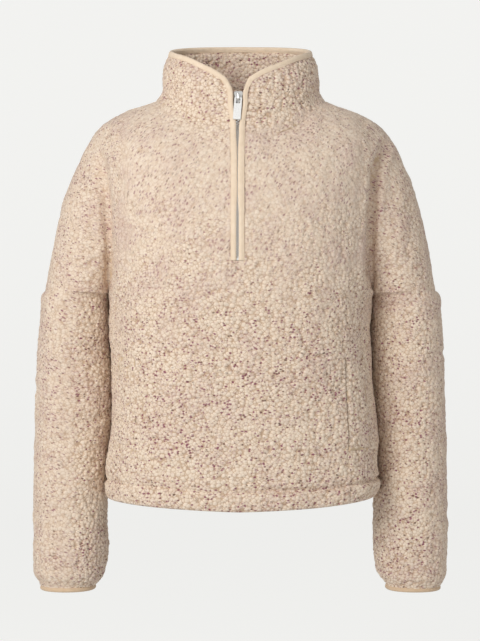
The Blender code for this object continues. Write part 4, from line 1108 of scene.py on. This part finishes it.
TOOTH = np.concatenate([TOOTH_HALF, TOOTH_HALF[::-1] * (1, -1)])
TOOTH_RINGS = ((-0.0012, 0.70), (-0.0008, 1.0), (0.0042, 1.0), (0.0045, 0.70))  # depth, size
STOP_DEPTH, STOP_Z = (0.0016, 0.0056), (-0.2334, -0.2293)
SLIDER_X, SLIDER_Z = 0.0010, -0.0055  # off the zip's middle, height
SLIDER_PLATE = np.array(  # across, along
    [(0.0034, -0.0075), (0.0050, -0.0010), (0.0062, 0.0040), (0.0060, 0.0066), (0.0046, 0.0075)]
)
BRIDGE = np.array(  # along, depth, of the arch that holds the pull
    [
        (-0.0055, 0.0025),
        (-0.0055, -0.0038),
        (-0.0043, -0.0051),
        (0.0023, -0.0051),
        (0.0035, -0.0038),
        (0.0035, 0.0025),
        (0.0025, 0.0025),
        (0.0025, -0.0035),
        (0.0019, -0.0041),
        (-0.0039, -0.0041),
        (-0.0045, -0.0035),
        (-0.0045, 0.0025),
    ]
)
PULL_HINGE, PULL_DEPTH, PULL_WALL = -0.0030, -0.0026, 0.0013
PULL_LENGTH, PULL_HALF_WIDTH, PULL_LIFT, PULL_TILT = 0.0302, 0.0054, 0.0012, math.radians(2.5)
SLOT_HALF_WIDTH, SLOT_ALONG = 0.0028, (-0.0073, -0.0008)


def zip_spine():
    """Points up the zip's middle, level with the fleece's face, and directions into the garment."""
    ends = ((1, 0), (-1, -1))
    sides = [np.concatenate([PANEL[-1, side][ZIP_FOOT - 6 :, 0], COLLAR[1:, end]]) for side, end in ends]
    line = (sides[0] + sides[1]) / 2
    line[:, 0] = ZIP_X
    into = unit(np.gradient(line, axis=0))[:, (0, 2, 1)] * (0, 1, -1)
    return line, into


SPINE, SPINE_IN = zip_spine()


def at_zip(z):
    """The zip's middle at heights, and the directions into the garment there."""
    middle, into = (
        np.stack([np.interp(z, SPINE[:, 2], values[:, k]) for k in range(3)], axis=-1)
        for values in (SPINE, SPINE_IN)
    )
    return middle, unit(into)


def woven_tape():
    """Polyester zip tape: a tight matte weave in herringbone, its ribs 0.6 mm apart, drawn at 1 mm."""
    material, tree, shader = new_material("woven tape", {"Roughness": 0.9})
    place = add(tree, "ShaderNodeTexCoord", {}, {}, "Object")
    waves = []
    for turn in (0.6, -0.6):
        turned = add(tree, "ShaderNodeMapping", {}, {"Vector": place, "Rotation": (0.0, turn, 0.0)})
        ribs = {"wave_type": "BANDS", "bands_direction": "Z"}
        waves.append(add(tree, "ShaderNodeTexWave", ribs, {"Vector": turned, "Scale": WAVE / 0.001}))
    shade = add(tree, "ShaderNodeMath", {"operation": "MULTIPLY"}, {0: waves[0], 1: waves[1]})
    two_toned(tree, shader, shade, "#A38D76", "#C4AE96", shade, 0.5, 0.0002)
    return material


def plated_metal(name, colour, roughness):
    """Nickel-plated brass or zinc: bright and a little soft in its reflections, with fine polishing
    marks 0.3 mm apart that only change its gloss."""
    material, tree, shader = new_material(name, {"Base Color": linear(colour), "Metallic": 1.0})
    place = add(tree, "ShaderNodeTexCoord", {}, {}, "Object")
    drawn = add(tree, "ShaderNodeMapping", {}, {"Vector": place, "Scale": (1.0, 1.0, 0.12)})
    marks = add(tree, "ShaderNodeTexNoise", {}, {"Vector": drawn, "Scale": 3300.0, "Detail": 2.0})
    limits = {0: marks, 1: 0.3, 2: 0.7, 3: roughness - 0.05, 4: roughness + 0.06}
    gloss = add(tree, "ShaderNodeMapRange", {}, limits)
    tree.links.new(gloss, shader.inputs["Roughness"])
    return material


TAPE = woven_tape()
TEETH_METAL = plated_metal("plated teeth", "#F2F2F1", 0.32)
PULL_METAL = plated_metal("polished plate", "#EFEEEB", 0.30)
# The slider's body is the same plated metal, painted greyer as shade under the arch and the pull.
SHADED_SLIDER_METAL = plated_metal("slider body with painted shade", "#CFCECB", 0.34)


def hard(made, node, body="garment"):
    """A metal piece: its edges are sharp where faces meet at more than 35 degrees."""
    made.data.set_sharp_from_angle(angle=math.radians(35))
    stands_for(made, node, body)


def tape(name, side):
    """The tape's section carried up the zip."""
    heights = np.linspace(*TAPE_Z, 130)
    middle, into = at_zip(heights)
    across, depth = (TAPE_SECTION * (side, 1))[:: -side].T
    sections = middle[:, None] + across[:, None] * (1, 0, 0) + depth[:, None] * into[:, None]
    made = stands_for(carried(name, sections, TAPE), name)


def solids(name, rings, material):
    """Many small closed bodies as one piece: bodies x rings x points, capped at the first and last ring."""
    number = np.arange(rings.size // 3).reshape(rings.shape[:3])
    faces = [faces_between(number), number[:, 0, ::-1], number[:, -1]]
    return formed(name, rings.reshape(-1, 3), faces, [material])


def teeth():
    """Teeth up both sides, half a pitch apart: each an outline with rounded corners, in four rings from
    front to back, the first and last drawn in."""
    rows = []
    for side, start in ((1, 0.0), (-1, TOOTH_PITCH / 2)):
        heights = np.arange(TEETH_Z[0] + start, TEETH_Z[1], TOOTH_PITCH)
        middle, into = at_zip(heights)
        up = np.cross((1, 0, 0), into)
        outline = (TOOTH * (side, 1))[::side]
        centre = outline.mean(axis=0)
        rings = []
        for depth, size in TOOTH_RINGS:
            across, along = (centre + size * (outline - centre)).T
            ring = middle[:, None] + across[:, None] * (1, 0, 0) + along[:, None] * up[:, None]
            rings.append(ring + depth * into[:, None])
        rows.append(np.stack(rings, axis=1))
    hard(solids("zip_teeth", np.concatenate(rows), TEETH_METAL), "zip_chain")


def on_slider(across, along, depth):
    """Points by their place on the slider: to the wearer's left, up, and into the garment."""
    middle, into = at_zip(SLIDER_Z)
    up = np.cross((1, 0, 0), into)
    across, along, depth = (np.asarray(v, float)[..., None] for v in (across, along, depth))
    return middle + (SLIDER_X + across) * np.array((1, 0, 0)) + along * up + depth * into


def eased_block(outline, low, high, cut, place):
    """Four rings of a plate with eased edges: its outline between two depths, drawn in by cut at each."""
    centre = outline.mean(axis=0)
    reach = np.linalg.norm(outline - centre, axis=1, keepdims=True)
    drawn_in = centre + (outline - centre) * (1 - cut / reach)
    rings = ((drawn_in, low), (outline, low + cut), (outline, high - cut), (drawn_in, high))
    return np.stack([place(ring[:, 0], ring[:, 1], depth) for ring, depth in rings])


def rounded(corners, radius, steps=5):
    """A convex outline with each corner replaced by a curve that starts and ends radius from it."""
    before, after = np.roll(corners, 1, axis=0) - corners, np.roll(corners, -1, axis=0) - corners
    start, end = corners + radius * unit(before), corners + radius * unit(after)
    t = np.linspace(0, 1, steps)[:, None, None]
    curve = (1 - t) ** 2 * start + 2 * t * (1 - t) * corners + t**2 * end
    return np.swapaxes(curve, 0, 1).reshape(-1, 2)


def rectangle(half_width, low, high):
    """A rectangle's corners, anticlockwise from the lower left."""
    return np.array([(-half_width, low), (half_width, low), (half_width, high), (-half_width, high)])


def bottom_stop():
    """A small block clamped over both beads."""
    middle, into = at_zip(sum(STOP_Z) / 2)
    up = np.cross((1, 0, 0), into)
    half = (STOP_Z[1] - STOP_Z[0]) / 2

    def place(across, along, depth):
        return middle + across[:, None] * np.array((1, 0, 0)) + along[:, None] * up + depth * into

    rings = eased_block(rounded(rectangle(0.0022, -half, half), 0.0008), *STOP_DEPTH, 0.0004, place)
    hard(solids("zip_bottom_stop_block", rings[None], PULL_METAL), "zip_bottom_stop")


def slider():
    """Two plates with rounded outlines, the post between them and the flanges that guide the teeth, and
    the arch over the front plate, as its side view carried across."""
    corners = np.concatenate([SLIDER_PLATE, SLIDER_PLATE[::-1] * (-1, 1)])
    plates = ((0.0020, 0.0031), (0.0060, 0.0071))
    parts = [eased_block(rounded(corners, 0.0006, 4), *depths, 0.0003, on_slider) for depths in plates]
    post = rounded(rectangle(0.0012, 0.0038, 0.0070), 0.0006, 10)
    parts.append(eased_block(post, 0.0026, 0.0064, 0.0001, on_slider))
    flange = np.array([(0.0040, -0.0030), (0.0048, -0.0022), (0.0048, 0.0042), (0.0040, 0.0036)])
    for side in (-1, 1):
        outline = rounded((flange * (side, 1))[::side], 0.0003, 10)
        parts.append(eased_block(outline, 0.0028, 0.0040, 0.0002, on_slider))
    hard(solids("zip_slider_body", np.stack(parts), SHADED_SLIDER_METAL), "zip_slider")

    def across_arch(along, depth, across):
        return on_slider(0 * along + across, along, depth)

    arch = eased_block(BRIDGE[::-1], -0.0014, 0.0014, 0.0003, across_arch)
    hard(solids("zip_slider_arch", arch[None], PULL_METAL), "zip_slider")


def pull():
    """A slotted plate: its section, a wall with eased edges from the outline in to the slot, is carried
    once round. It hangs from the arch, its foot 1.2 mm further off the zip and a little askew."""
    hinge = on_slider(0.0, PULL_HINGE, PULL_DEPTH)
    foot, into = at_zip(hinge[2] - PULL_LENGTH)
    up = unit(hinge - (foot + (PULL_DEPTH - PULL_LIFT) * into))
    out = np.cross((1, 0, 0), up)
    up = math.cos(PULL_TILT) * up + math.sin(PULL_TILT) * np.array((1, 0, 0))
    across = np.cross(up, out)
    plate = rounded(rectangle(PULL_HALF_WIDTH, -PULL_LENGTH, 0.0008), 0.0010, 12)
    slot = rounded(rectangle(SLOT_HALF_WIDTH, *SLOT_ALONG), 0.0008, 12)
    wall, cut = PULL_WALL / 2, 0.00025

    def drawn(outline, by):
        centre = outline.mean(axis=0)
        return centre + (outline - centre) * (1 - by / np.abs(outline - centre).max(axis=1, keepdims=True))

    section = [
        (plate, -wall + cut),
        (plate, wall - cut),
        (drawn(plate, cut), wall),
        (drawn(slot, -cut), wall),
        (slot, wall - cut),
        (slot, -wall + cut),
        (drawn(slot, -cut), -wall),
        (drawn(plate, cut), -wall),
    ]
    rings = [hinge + o[:, :1] * across + o[:, 1:] * up + depth * out for o, depth in section]
    sections = np.stack(rings, axis=1)
    hard(carried("pull_plate", sections, PULL_METAL, closed=True), "zip_pull", "pull_tab")


for name, side in (("left", 1), ("right", -1)):
    tape(f"zip_tape_{name}", side)
teeth()
bottom_stop()
slider()
pull()

# ---------------------------------------------------------------------------------- studio
# A plain pale floor that runs up into a backdrop, a large soft key light from the upper left, a softer
# fill, and a camera level with the garment's middle, 2.5 m in front of it.
EYE = np.array((-0.0007, -2.5, -0.315))


def backdrop():
    """A surface of revolution 7 m in radius: a round floor below the garment that curves up, a quarter
    circle 2 m in radius, into a wall all round. It is lit paper that throws no light or shade back."""
    turn = np.linspace(0, math.pi / 2, 13)
    side = np.stack([5 + 2 * np.sin(turn), -1.15 + 2 * (1 - np.cos(turn))], axis=1)
    side = np.concatenate([[(0.01, -1.15)], side, [(7.0, 9.0)]])
    angle = np.linspace(0, 2 * math.pi, 65)[:-1]
    height = side[:, 1:] + 0 * angle
    points = np.stack([side[:, :1] * np.cos(angle), side[:, :1] * np.sin(angle), height], axis=-1)
    number = np.arange(height.size).reshape(height.shape)
    constants = {
        "Base Color": linear("#A0A09E"),
        "Roughness": 1.0,
        "Specular IOR Level": 0.0,
        "Emission Color": linear("#F1F1EF"),
        "Emission Strength": 0.78,
    }
    paper = new_material("lit paper", constants)[0]
    faces = [faces_between(number[::-1]), number[:1]]
    made = formed("backdrop", points.reshape(-1, 3), faces, [paper])
    made.visible_diffuse = made.visible_glossy = made.visible_shadow = False


def soft_light(name, place, aim, size, power):
    """A round area light that the camera doesn't see."""
    lamp = bpy.data.lights.new(name, "AREA")
    lamp.shape, lamp.size, lamp.energy = "DISK", size, power
    made = linked(name, lamp)
    made.location = place
    away = np.array(place) - np.array(aim)
    made.rotation_mode = "QUATERNION"
    made.rotation_quaternion = Vector(away).to_track_quat("Z", "Y")
    made.visible_camera = False


backdrop()
soft_light("key", (-1.32, -2.0, 0.45), (0, 0, -0.3), 1.3, 37)
soft_light("fill", (0.3, -2.6, -0.2), (0, 0, -0.35), 2.4, 5)
world = bpy.data.worlds.new("studio")
bpy.context.scene.world = world
world.use_nodes = True
sky = world.node_tree.nodes["Background"]
direction = add(world.node_tree, "ShaderNodeTexCoord", {}, {}, "Generated")
upward = add(world.node_tree, "ShaderNodeSeparateXYZ", {}, {0: direction}, "Z")
dimmer = add(world.node_tree, "ShaderNodeMapRange", {}, {0: upward, 1: 0.2, 2: 1.0, 3: 0.57, 4: 0.38})
world.node_tree.links.new(dimmer, sky.inputs["Strength"])
sky.inputs["Color"].default_value = (1, 1, 1, 1)

lens = bpy.data.cameras.new("camera")
lens.sensor_width, lens.lens = 36, 98.19  # 0.9166 m tall at the garment's middle
camera = linked("camera", lens)
camera.location = EYE
camera.rotation_euler = (math.pi / 2, 0, 0)
bpy.context.scene.camera = camera
bpy.context.scene.view_settings.view_transform = "Standard"
